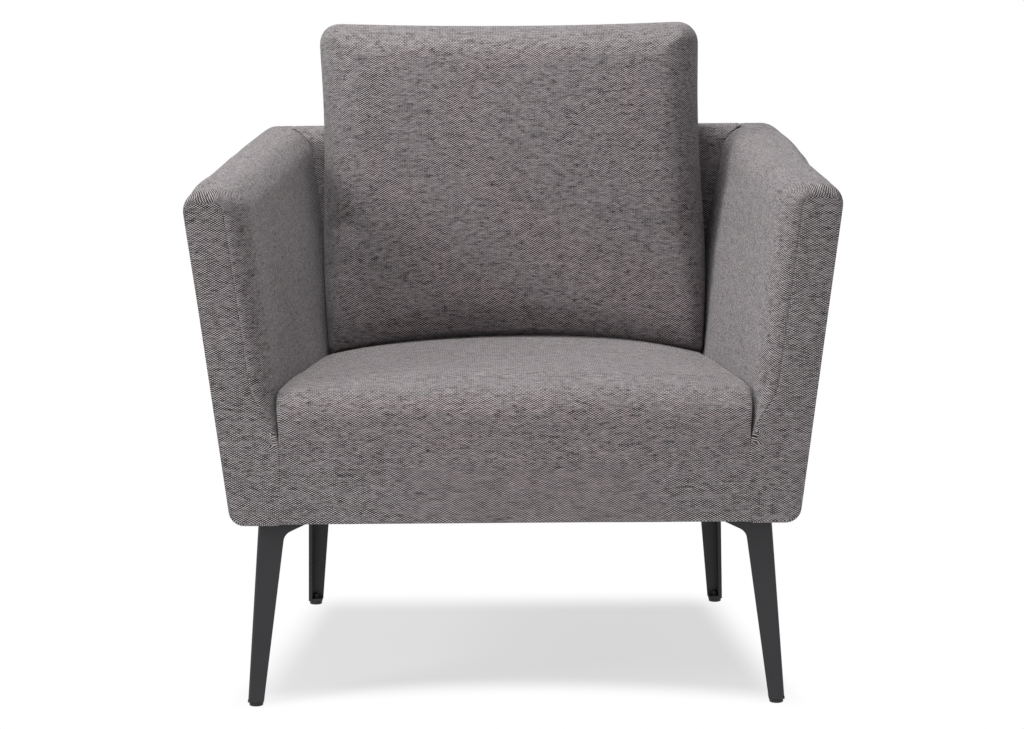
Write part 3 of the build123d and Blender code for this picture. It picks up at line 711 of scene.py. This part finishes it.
def shape_arm(places, side):
    """Spreads the rear of an arm, more at its outer face, and eases the top of its front down."""
    x, y, z = places[..., 0], places[..., 1], places[..., 2]
    outward = 1 - np.clip((outer_x(y, z) - x) / sizes().arm_thickness, 0, 1)
    spread = flare(y, z, side) * (1 + 0.7 * outward)
    dip = 0.003 if side > 0 else 0.007
    front = smooth((0.10 - DEPTH_HALF - y) / 0.10)
    places[..., 0] += spread
    places[..., 2] -= dip * front * smooth((z - 0.50) / 0.17) * (0.4 + 0.6 * outward)


ARM_TWEED_RING, BACK_TWEED_RING = 30, 30


def make_arm(side, cloth):
    places = arm_wrap_rings()
    rows, cols = places.shape[:2]
    fade = smooth((np.arange(rows) - 10) / 10.0) * smooth((rows - 16 - np.arange(rows)) / 8.0)
    seed = 11 if side > 0 else 15
    wide = ripple(places, 0.26, seed) * 0.0008 + ripple(places, 0.09, seed + 1) * 0.00025
    places = pushed(places, wide * fade[:, None])
    panel = arm_panel_rings()
    flip = np.array([side, 1, 1])
    shape_arm(places, side)
    shape_arm(panel, side)
    places, panel = places * flip, panel * flip
    clear_sheet(places)
    patch = Patch()
    warp = np.repeat(ring_lengths(places)[ARM_TWEED_RING][None, :], rows, axis=0) + 0.4 * side
    base = patch.grid(places, row_lengths(places), warp, wrap=True)
    patch.lid(base, cols, rows - 1, places[-1][:, 0], places[-1][:, 2])
    closed = np.concatenate([panel, panel[:, :1]], axis=1)
    base = patch.grid(panel, closed[..., 0] + 2.0 * side, closed[..., 2], wrap=True)
    patch.lid(base, cols, len(panel) - 1, panel[-1][:, 0] + 2.0 * side, panel[-1][:, 2])
    name = "right" if side > 0 else "left"
    return patch.build(name + "_arm_padding", cloth, weld=0.00002)


def sewn_rings(name, places, ring, shift, cloth):
    """Closed pad from rings across the chair, its cloth measured round one of them."""
    rows, cols = places.shape[:2]
    patch = Patch()
    warp = np.repeat(ring_lengths(places)[ring][None, :], rows, axis=0) + shift
    base = patch.grid(places, row_lengths(places), warp, wrap=True)
    for row in (0, rows - 1):
        patch.lid(base, cols, row, places[row][:, 1], places[row][:, 2])
    return patch.build(name, cloth)


def back_loop(inset):
    """Outline of the back in depth and height."""
    s = sizes()
    c, n = math.cos(s.back_rake), math.sin(s.back_rake)
    rear = (c, -n, c * rear_y(0.0) - inset)
    top = (0.0, 1.0, s.arm_rear_height - inset)
    front = (-c, n, -c * back_y(0.0) - inset)
    base = (0.0, -1.0, -UNDER_Z - inset)
    corners = [cross(base, rear), cross(rear, top), cross(top, front), cross(front, base)]
    radii = [max(0.003, r - inset) for r in (0.014, 0.030, 0.026, 0.004)]
    return rounded_loop(corners, radii, arc_steps=9, edge_steps=30)


def arm_shoulder(z):
    """How far the rounded top of an arm draws away from its inner face at a height."""
    radius = ARM_RADII[2]
    above = np.clip((z - (sizes().arm_rear_height - radius)) / radius, 0, 0.995)
    return radius * (1 - np.sqrt(1 - above ** 2))


def make_back(cloth):
    lap, roll = 0.0015, 0.006

    def place(loop, pull, side):
        y, z = loop[:, 0], loop[:, 1]
        half = inner_x(y, np.maximum(z, SEAM_LOW)) + lap + 0.94 * arm_shoulder(z) + flare(y, z, side)
        return np.stack([side * (half - pull), y, z], axis=1)

    def end(side):
        rings = [place(back_loop(more), 0.0, side) for more in (0.024, 0.014, 0.007)]
        for turn in bend_share(6)[::-1]:
            loop = back_loop(0.5 * roll * (1 - math.cos(turn)))
            rings.append(place(loop, roll * (1 - math.sin(turn)), side))
        return rings

    left, right = end(-1), end(1)
    between = [left[-1] + (right[-1] - left[-1]) * share for share in np.linspace(0, 1, 62)[1:-1]]
    places = np.array(left + between + right[::-1])
    places[..., 1] += ripple(places, 0.22, 21) * 0.0006
    clear_sheet(places)
    return sewn_rings("back_padding", places, BACK_TWEED_RING, 3.0, cloth)


def seat_loop(share, inset):
    """Outline of the seat in depth and height at a share of its half width."""
    s = sizes()
    front = -DEPTH_HALF - 0.001 + inset * 0.12
    z_low = UNDER_Z - 0.001
    bulge = abs(share) ** 2.8
    rear = back_y(0.40) - 0.001 - inset * 0.2
    z_front = s.seat_front - 0.005 * bulge - inset
    z_rear = s.seat_rear - 0.028 * bulge - inset
    turn = max(0.010, s.seat_round - inset * 0.6)
    loop = [[front, z] for z in np.linspace(z_low, z_front - turn, 26)]
    for a in bend_share(14)[1:]:
        loop.append([front + turn * (1 - math.cos(a)), z_front - turn + turn * math.sin(a)])
    start = front + turn
    for k in np.linspace(0, 1, 44)[1:]:
        loop.append([start + (rear - start) * k, z_front + (z_rear - z_front) * k + 0.018 * k * (1 - k)])
    loop.extend([rear, z] for z in np.linspace(z_rear, z_low, 8)[1:])
    loop.extend([y, z_low] for y in np.linspace(rear, front, 22)[1:-1])
    return np.array(loop)


def make_seat(cloth):
    roll = 0.010

    def place(loop, pull, side):
        y, z = loop[:, 0], loop[:, 1]
        open_edge = smooth((z - 0.348) / 0.022)
        half = inner_x(y, np.maximum(z, SEAM_LOW)) + flare(y, z, side) + 0.0008 - 0.0023 * open_edge
        return np.stack([side * (half - pull * (0.08 + 0.92 * open_edge)), y, z], axis=1)

    def end(side):
        rings = [place(seat_loop(1.0, more), 0.0008, side) for more in (0.060, 0.035, 0.020)]
        for turn in bend_share(9)[::-1]:
            pull = roll * (1 - math.sin(turn)) + 0.0004
            rings.append(place(seat_loop(1.0, 0.009 * (1 - math.cos(turn))), pull, side))
        return rings

    between = []
    for share in np.linspace(-1, 1, 62)[1:-1]:
        side = 1 if share > 0 else -1
        between.append(place(seat_loop(share, 0.0), roll + 0.0004, side) * np.array([abs(share), 1, 1]))
    places = np.array(end(-1) + between + end(1)[::-1])
    up = smooth((places[..., 2] - 0.375) / 0.02)
    places[..., 2] += ripple(places, 0.23, 31) * 0.0009 * up
    places[..., 1] += ripple(places, 0.16, 32) * 0.0006 * (1 - up)
    clear_sheet(places)
    return sewn_rings("seat_padding", places, len(places) // 2, 5.0, cloth)


def cushion_axes():
    """Foot of the cushion on the back, and its upward and outward directions."""
    s = sizes()
    rake = s.back_rake
    origin = np.array([0.0, back_y(s.cushion_rest), s.cushion_rest])
    up = np.array([0.0, math.sin(rake), math.cos(rake)])
    out = np.array([0.0, -math.cos(rake), math.sin(rake)])
    return origin + out * 0.0008, up, out


CUSHION_HEAD, CUSHION_FOOT = 0.032, 0.016
ZIP_RISE = 0.078


def make_cushion(cloth):
    s = sizes()
    rake = s.back_rake
    half_w = s.cushion_width / 2
    thick = s.cushion_thickness
    rise = (CUSHION_BOX[1][2] - s.cushion_rest - 0.55 * thick * math.sin(rake)) / math.cos(rake)
    mid = rise / 2
    across = np.sin(np.linspace(-1, 1, 66) * math.pi / 2)
    upward = np.sin(np.linspace(-1, 1, 60) * math.pi / 2)
    zip_lines = ZIP_RISE + np.array([-0.0145, -0.0125, -0.0105, -0.009, 0.009, 0.0105, 0.0125, 0.0145])
    upward = np.unique(np.concatenate([upward, zip_lines / mid - 1]))
    a, b = np.meshgrid(across, upward)
    radius = np.where(b > 0, CUSHION_HEAD, CUSHION_FOOT)
    reach_x, reach_v = half_w - np.abs(a) * half_w, mid - np.abs(b) * mid
    corner = (reach_x < radius) & (reach_v < radius)
    part_x, part_v = 1 - reach_x / radius, 1 - reach_v / radius
    longest = np.maximum(np.maximum(part_x, part_v), 1e-9)
    length = np.maximum(np.hypot(part_x, part_v), 1e-9)
    ease = np.where(corner, radius * longest / length, 0.0)
    x = np.where(corner, np.sign(a) * (half_w - radius + part_x * ease), a * half_w)
    v = np.where(corner, np.sign(b) * (mid - radius + part_v * ease), b * mid)
    edge = np.where(corner, radius * (1 - longest), np.minimum(reach_x, reach_v))
    arch = np.clip(1 - (x / half_w) ** 2, 0, 1)
    v = v - 0.0060 * arch * smooth((b - 0.2) / 0.8)
    v = v - (0.026 * (1 - arch) - 0.001) * smooth((-b - 0.2) / 0.8)
    waist_wave = np.clip(1 - b ** 4, 0, 1) * (0.0025 * np.sin((b + 0.15) * math.pi) + 0.0015)
    x = x - np.sign(a) * np.abs(a) ** 3 * waist_wave - 0.0045 * b
    waist = 0.40 * thick

    def swell(run, height):
        t = np.clip(edge / run, 0, 1)
        return height * np.sqrt(np.clip(1 - (1 - t) ** 2.3, 0, 1))

    crown = np.clip(1 - a ** 2, 0, 1) * np.clip(1 - b ** 2, 0, 1)
    front_run = 0.058 - 0.030 * smooth((-b - 0.3) / 0.5)
    front = waist + swell(front_run, 0.076) + 0.013 * crown ** 0.7
    rear = waist - swell(0.040, waist - 0.0008)
    trough = 1 - smooth((np.abs(v + mid - ZIP_RISE) - 0.0095) / 0.003)
    trough = trough * (1 - smooth((np.abs(x) - 0.203) / 0.006)) * (np.abs(a) < 0.9)
    rear = rear + trough * (0.0102 - rear)
    origin, up, out = cushion_axes()
    settle_down = -math.tan(rake) * np.clip(1 - (v + mid) / 0.12, 0, 1)

    def lay(depth):
        height = v + mid + settle_down * depth
        sideways = x[..., None] * np.array([1.0, 0, 0])
        places = origin + sideways + height[..., None] * up + depth[..., None] * out
        y, z = places[..., 1], places[..., 2]
        spread = np.where(a > 0, flare(y, z, 1), flare(y, z, -1))
        room = inner_x(y, z) + spread - 0.0008
        tight = np.abs(places[..., 0]) - room
        places[..., 0] -= np.sign(a) * np.logaddexp(0, tight / 0.002) * 0.002
        return places

    def unrolled(places):
        rows, cols = places.shape[:2]
        step = np.linalg.norm(np.diff(places, axis=1), axis=2)
        run = np.concatenate([np.zeros((rows, 1)), np.cumsum(step, axis=1)], axis=1)
        run -= run[:, cols // 2][:, None]
        step = np.linalg.norm(np.diff(places, axis=0), axis=2)
        climb = np.concatenate([np.zeros((1, cols)), np.cumsum(step, axis=0)], axis=0)
        return run, climb - climb[rows // 2][None, :]

    patch = Patch()
    for depth, shift in ((front, 7.0), (rear, 9.0)):
        places = lay(depth)
        run, climb = unrolled(places)
        patch.grid(places, run + shift, climb)
    return patch.build("back_cushion_padding", cloth, weld=0.00005)


# Repeated small things, grown by node trees

def node_tree(name, **inputs):
    """A geometry tree with named inputs; gives its board, its input node and the inputs' identifiers."""
    tree = bpy.data.node_groups.new(name, 'GeometryNodeTree')
    tree.interface.new_socket("Geometry", in_out='INPUT', socket_type='NodeSocketGeometry')
    keys = {}
    for key, value in inputs.items():
        socket = tree.interface.new_socket(key, in_out='INPUT', socket_type='NodeSocketFloat')
        socket.default_value = value
        keys[key] = socket.identifier
    tree.interface.new_socket("Geometry", in_out='OUTPUT', socket_type='NodeSocketGeometry')
    board = NodeBoard(tree)
    return board, board.node('NodeGroupInput'), keys


def close_tree(board, geometry, material):
    """Ends a geometry tree in plain faces with a material."""
    solid = board.node('GeometryNodeRealizeInstances', sockets={'Geometry': geometry})
    painted = board.node('GeometryNodeSetMaterial', sockets={
        'Geometry': solid.outputs[0], 'Material': material})
    board.node('NodeGroupOutput', sockets={'Geometry': painted.outputs[0]})


def grown(name, board, keys, values, points, edges=()):
    """Runs a geometry tree on a small base mesh and keeps the result as a plain mesh."""
    base_mesh = bpy.data.meshes.new(name + "_base")
    base_mesh.from_pydata(points, edges, [])
    base = linked(name + "_base", base_mesh)
    modifier = base.modifiers.new("grow", 'NODES')
    modifier.node_group = board.tree
    for key, value in values.items():
        modifier[keys[key]] = value
    graph = bpy.context.evaluated_depsgraph_get()
    mesh = bpy.data.meshes.new_from_object(base.evaluated_get(graph), depsgraph=graph)
    bpy.data.objects.remove(base)
    if not mesh.polygons:
        raise RuntimeError(name + " grew no faces")
    mesh.name = name
    return linked(name, mesh)


def wire(board, curve, radius, sides):
    """Round wire along a curve."""
    profile = board.node('GeometryNodeCurvePrimitiveCircle', sockets={
        'Resolution': sides, 'Radius': radius})
    return board.node('GeometryNodeCurveToMesh', sockets={
        'Curve': curve, 'Profile Curve': profile.outputs[0], 'Fill Caps': True}).outputs[0]


def make_staples(outline, metal):
    """Staples along a closed outline, each a little out of line."""
    board, given, keys = node_tree("staples_along_edge", Spacing=0.045, Crown=0.010, Wire=0.0008)
    path = board.node('GeometryNodeMeshToCurve', sockets={'Mesh': given.outputs['Geometry']})
    spots = board.node('GeometryNodeResampleCurve', {"mode": 'LENGTH'}, {
        'Curve': path.outputs[0], 'Length': given.outputs['Spacing']})
    half = board.term(given, 'Crown') * 0.5
    bars = board.node('GeometryNodeJoinGeometry')
    left, right = board.vector(half * -1.0, 0.0, 0.0), board.vector(half, 0.0, 0.0)
    deep_left, deep_right = board.vector(half * -1.0, 0.0, 0.0008), board.vector(half, 0.0, 0.0008)
    for begin, finish in ((deep_left, left), (left, right), (right, deep_right)):
        bar = board.node('GeometryNodeCurvePrimitiveLine', sockets={'Start': begin, 'End': finish})
        board.feed(bars.inputs[0], bar.outputs[0])
    staple = wire(board, bars.outputs[0], board.term(given, 'Wire') * 0.5, 6)
    tangent = board.node('GeometryNodeInputTangent')
    turn = board.node('FunctionNodeAlignRotationToVector', {"axis": 'X'}, {'Vector': tangent.outputs[0]})
    stray = board.node('FunctionNodeRandomValue', {"data_type": 'FLOAT'}, {
        'Min': -0.16, 'Max': 0.16, 'Seed': 11})
    tilt = board.node('FunctionNodeAxisAngleToRotation', sockets={
        'Axis': (0.0, 0.0, 1.0), 'Angle': stray.outputs['Value']})
    turned = board.node('FunctionNodeRotateRotation', sockets={0: turn.outputs[0], 1: tilt.outputs[0]})
    placed = board.node('GeometryNodeInstanceOnPoints', sockets={
        'Points': spots.outputs[0], 'Instance': staple, 'Rotation': turned.outputs[0]})
    close_tree(board, placed.outputs[0], metal)
    count = len(outline)
    edges = [(i, (i + 1) % count) for i in range(count)]
    return grown("dust_sheet_staples", board, keys, {"Spacing": 0.042}, outline, edges)


def make_dust_sheet(cloth):
    """Thin sheet under the shell, pulled tight at its edges and slack in the middle."""
    low, high = SHEET_BOX
    taper = sizes().arm_taper
    b, a = np.meshgrid(np.linspace(-1, 1, 70), np.linspace(-1, 1, 70), indexing="ij")
    y = low[1] + (b + 1) / 2 * (high[1] - low[1])
    half = high[0] - taper * (y - low[1])
    scallop = 0.0012 * np.abs(np.sin(y * 75.0))
    x = a * (half - scallop * np.abs(a) ** 6)
    slack = ((1 - a ** 2) * (1 - b ** 2)) ** 2
    places = np.stack([x, y, np.full_like(x, (low[2] + high[2]) / 2)], axis=2)
    places[..., 2] -= slack * (0.0040 + 0.0006 * ripple(places, 0.11, 51))
    places[..., 2] -= 0.00015 * np.abs(ripple(places, 0.05, 52)) * (1 - slack)
    patch = Patch()
    patch.grid(places, x, y)
    sheet = patch.build("dust_sheet", cloth)
    shell = sheet.modifiers.new("thickness", 'SOLIDIFY')
    shell.thickness = 0.0007
    shell.offset = 0.0
    return sheet


COIL_PITCH, COIL_RADIUS, COIL_WIRE = 0.0018, 0.00122, 0.0006


def make_zip_coil(nylon):
    """Two meshing coils along the zip."""
    low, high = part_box("cushion_zip")
    board, given, keys = node_tree(
        "zip_coils", Length=0.4, Pitch=COIL_PITCH, Radius=COIL_RADIUS, Wire=COIL_WIRE)
    length, radius = board.term(given, 'Length'), board.term(given, 'Radius')
    turns = board.maths('DIVIDE', length, given.outputs['Pitch'])
    pair = board.node('GeometryNodeJoinGeometry')
    for side in (1.0, -1.0):
        spiral = board.node('GeometryNodeCurveSpiral', sockets={
            'Resolution': 8, 'Rotations': turns, 'Start Radius': radius, 'End Radius': radius,
            'Height': length, 'Reverse': side < 0})
        laid = board.node('GeometryNodeTransform', sockets={
            'Geometry': spiral.outputs[0], 'Translation': board.vector(length * -0.5, radius * side, 0.0),
            'Rotation': (0.0, math.pi / 2, 0.0), 'Scale': (0.62, 1.0, 1.0)})
        board.feed(pair.inputs[0], wire(board, laid.outputs[0], board.term(given, 'Wire') * 0.5, 5))
    close_tree(board, pair.outputs[0], nylon)
    coil = grown("zip_coil", board, keys, {"Length": high[0] - low[0] - 0.002}, [(0.0, 0.0, 0.0)])
    _, up, out = cushion_axes()
    centre = (0.0, high[1] - 0.00126, low[2] + 0.0056)
    turn = Matrix((Vector((1.0, 0.0, 0.0)), Vector(up), Vector(out))).transposed().to_4x4()
    coil.data.transform(Matrix.Translation(centre) @ turn)
    return coil


# Operators

def upholster(piece, body, fill, *nodes):
    """Finishes a padded piece that stands for some of the frame's nodes."""
    refine(piece)
    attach(piece, body)
    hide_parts(*nodes)


def cover_cloth():
    return bpy.data.materials.get("woven_tweed") or tweed()


class ARMCHAIR_OT_arms(bpy.types.Operator):
    """Padded arms with their front panels."""
    bl_idname = "armchair.arms"
    bl_label = "Arms"

    def execute(self, context):
        for side, name in ((1, "right"), (-1, "left")):
            arm = make_arm(side, cover_cloth())
            upholster(arm, "chair", 0.95, name + "_arm_cover", name + "_arm_foam")
        return {'FINISHED'}


class ARMCHAIR_OT_back(bpy.types.Operator):
    """Padded back between the arms."""
    bl_idname = "armchair.back"
    bl_label = "Back"

    def execute(self, context):
        upholster(make_back(cover_cloth()), "chair", 0.95, "back_cover", "back_foam")
        return {'FINISHED'}


class ARMCHAIR_OT_seat(bpy.types.Operator):
    """Crowned seat pad."""
    bl_idname = "armchair.seat"
    bl_label = "Seat"

    def execute(self, context):
        seat = make_seat(cover_cloth())
        x, y, z = points_of(seat.data).T
        open_top = smooth((z - 0.385) / 0.025) * smooth((0.09 - y) / 0.07)
        free = open_top * smooth((inner_x(y, z) - np.abs(x) - 0.010) / 0.060)
        settle(seat, 0.006, free, np.array([0.0, 0.0, 1.0]), pressure=1.5)
        upholster(seat, "chair", 0.9, "seat_cover", "seat_foam", "spring_felt")
        return {'FINISHED'}


class ARMCHAIR_OT_cushion(bpy.types.Operator):
    """Loose back cushion, swelled as a filled cover."""
    bl_idname = "armchair.cushion"
    bl_label = "Back cushion"

    def execute(self, context):
        cushion = make_cushion(cover_cloth())
        origin, _, out = cushion_axes()
        free = smooth(((points_of(cushion.data) - origin) @ out - 0.050) / 0.060)
        settle(cushion, 0.011, free, out, pressure=3.0)
        upholster(cushion, "back_cushion", 0.85, "cushion_cover", "cushion_insert")
        nylon = plain_cloth("zip_nylon", (0.02, 0.02, 0.022), (0.09, 0.088, 0.09), 900.0, Roughness=0.45)
        coil = make_zip_coil(nylon)
        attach(coil, "back_cushion")
        return {'FINISHED'}


class ARMCHAIR_OT_underside(bpy.types.Operator):
    """Dust sheet under the shell, with the staples that hold it."""
    bl_idname = "armchair.underside"
    bl_label = "Underside"

    def execute(self, context):
        cloth = plain_cloth(
            "dust_cloth", (0.008, 0.008, 0.009), (0.05, 0.05, 0.052), 1100.0, Roughness=0.9)
        sheet = make_dust_sheet(cloth)
        low, high = SHEET_BOX
        depth = high[1] - low[1]
        narrow = high[0] - sizes().arm_taper * depth
        edge, level = 0.008, low[2] - 0.0001
        outline = [
            (-high[0] + edge, low[1] + edge, level), (high[0] - edge, low[1] + edge, level),
            (narrow - edge, high[1] - edge, level), (-narrow + edge, high[1] - edge, level)]
        steel = plated("staple_wire", (0.35, 0.35, 0.35), (0.62, 0.62, 0.61), 0.3)
        staples = make_staples(outline, steel)
        for piece in (sheet, staples):
            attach(piece, "chair")
        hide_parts("dust_cover")
        return {'FINISHED'}


class ARMCHAIR_OT_hardware(bpy.types.Operator):
    """Finishes of the legs, fasteners, timber and other pieces that the frame gives."""
    bl_idname = "armchair.hardware"
    bl_label = "Legs and frame"

    def execute(self, context):
        coat, plastic = powder_coat(), moulded_plastic()
        zinc = plated("zinc_plate", (0.42, 0.42, 0.40), (0.72, 0.71, 0.68), 0.28)
        wire = plated("drawn_wire", (0.28, 0.28, 0.29), (0.5, 0.5, 0.5), 0.32)
        dark = plated("dark_plate", (0.05, 0.05, 0.055), (0.16, 0.16, 0.165), 0.34)
        wood, board = timber("planed_timber"), timber("hardboard", 0.2, 0.45)
        felt = plain_cloth("felt", (0.10, 0.095, 0.09), (0.32, 0.30, 0.29), 700.0, Roughness=0.95)
        band = plain_cloth("webbing", (0.02, 0.02, 0.022), (0.12, 0.12, 0.125), 900.0, Roughness=0.85)
        tape = plain_cloth("zip_tape", (0.03, 0.03, 0.032), (0.13, 0.128, 0.13), 1500.0, Roughness=0.8)
        by_slot = {
            "black_steel": coat, "glide_plastic": plastic, "zinc_steel": zinc, "spring_steel": wire,
            "zip_metal": dark, "timber": wood, "hardboard": board, "felt": felt, "webbing": band,
            "zip_tape": tape, "dust_sheet": band, "foam": felt, "fibre_fill": felt, "tweed": felt,
        }
        slots = {part["node"]: part["material_slot"] for part in frame["record"]["subparts"]}
        for node, piece in frame["nodes"].items():
            piece.data.materials.clear()
            piece.data.materials.append(by_slot[slots[node]])
        return {'FINISHED'}


class ARMCHAIR_OT_stage(bpy.types.Operator):
    """Camera, pale floor with a painted shadow patch under the chair, and soft studio light."""
    bl_idname = "armchair.stage"
    bl_label = "Studio"

    def execute(self, context):
        look = stage_of()
        scene = context.scene
        scene.view_settings.view_transform = 'Standard'
        camera = linked("camera", bpy.data.cameras.new("camera"))
        camera.data.lens = look.lens
        camera.data.sensor_fit = 'HORIZONTAL'
        camera.data.sensor_width = 36.0
        camera.data.clip_end = 200.0
        tilt = Matrix.Rotation(math.pi / 2 - look.camera_pitch, 4, 'X')
        roll = Matrix.Rotation(look.camera_roll, 4, 'Z')
        camera.matrix_world = Matrix.Translation(Vector(look.camera_place)) @ tilt @ roll
        scene.camera = camera
        self.lamp("key_light", look.key_power, 1.6, (-3.3, -2.1, 2.5), (0.0, 0.0, 0.45))
        self.lamp("top_light", look.top_power, 1.2, (-0.5, 0.0, 3.6), (0.0, 0.0, 0.3))
        self.lamp("fill_light", look.fill_power, 2.4, (0.6, -4.8, 1.0), (0.0, 0.0, 0.40))
        self.world()
        self.floor()
        return {'FINISHED'}

    def lamp(self, name, power, size, place, aim):
        data = bpy.data.lights.new(name, 'AREA')
        data.energy = power
        data.shape = 'DISK'
        data.size = size
        lamp = linked(name, data)
        lamp.location = place
        lamp.rotation_euler = (Vector(aim) - Vector(place)).to_track_quat('-Z', 'Y').to_euler()

    def world(self):
        world = bpy.data.worlds.new("studio")
        world.use_nodes = True
        bpy.context.scene.world = world
        board = NodeBoard(world.node_tree)
        back = world.node_tree.nodes["Background"]
        board.feed(back.inputs['Color'], (1.0, 1.0, 1.0, 1.0))
        ambient = stage_of().ambient
        board.feed(back.inputs['Strength'], board.seen_ray() * (1.0 - ambient) + ambient)

    def floor(self):
        reach = 30.0
        corners = [(-reach, -reach, 0), (reach, -reach, 0), (reach, reach, 0), (-reach, reach, 0)]
        mesh = bpy.data.meshes.new("floor")
        mesh.from_pydata(corners, [], [(0, 1, 2, 3)])
        floor = linked("floor", mesh)
        pale = Finish(
            "pale_floor", Base_Color=(0.86, 0.86, 0.86, 1.0), Roughness=0.9, Specular_IOR_Level=0.1)
        x, y, _ = pale.place("object")
        # Painted shadow: 'under' marks a trapezoid over the chair's footprint. Only there does the white
        # glow fade so the floor's shade shows. The rest of the floor glows plain white and shows no
        # shadow.
        wide = x.size() + y * 0.11
        ahead = y + x * x * 0.6
        under = wide.between(0.345, 0.275) * ahead.between(-0.31, -0.20) * y.between(0.31, 0.17)
        glow = pale.node('ShaderNodeEmission', sockets={'Color': (1.0, 1.0, 1.0, 1.0)})
        # The mix lets the diffuse floor and its shade through only within the painted shadow patch.
        mix = pale.node('ShaderNodeMixShader', sockets={
            0: (1.0 - under * 0.36) * pale.seen_ray(), 1: pale.shader.outputs[0], 2: glow.outputs[0]})
        pale.feed(pale.tree.nodes["Material Output"].inputs[0], mix.outputs[0])
        mesh.materials.append(pale.material)


class ARMCHAIR_PT_panel(bpy.types.Panel):
    bl_idname = "ARMCHAIR_PT_panel"
    bl_label = "Armchair"
    bl_space_type = 'VIEW_3D'
    bl_region_type = 'UI'
    bl_category = "Armchair"

    def draw(self, context):
        column = self.layout.column()
        for operator in OPERATORS:
            column.operator(operator.bl_idname)
        for group in (sizes(), finish_of(), stage_of()):
            for name in group.__annotations__:
                column.prop(group, name)


OPERATORS = (
    ARMCHAIR_OT_hardware, ARMCHAIR_OT_arms, ARMCHAIR_OT_back, ARMCHAIR_OT_seat, ARMCHAIR_OT_cushion,
    ARMCHAIR_OT_underside, ARMCHAIR_OT_stage,
)
CLASSES = (ArmchairSizes, ArmchairFinish, ArmchairStage, *OPERATORS, ARMCHAIR_PT_panel)


def register():
    for item in CLASSES:
        bpy.utils.register_class(item)
    bpy.types.Scene.armchair_sizes = bpy.props.PointerProperty(type=ArmchairSizes)
    bpy.types.Scene.armchair_finish = bpy.props.PointerProperty(type=ArmchairFinish)
    bpy.types.Scene.armchair_stage = bpy.props.PointerProperty(type=ArmchairStage)


def unregister():
    del bpy.types.Scene.armchair_stage
    del bpy.types.Scene.armchair_finish
    del bpy.types.Scene.armchair_sizes
    for item in reversed(CLASSES):
        bpy.utils.unregister_class(item)


def main():
    register()
    for operator in OPERATORS:
        group, name = operator.bl_idname.split(".")
        getattr(getattr(bpy.ops, group), name)()


if __name__ == "__main__":
    main()
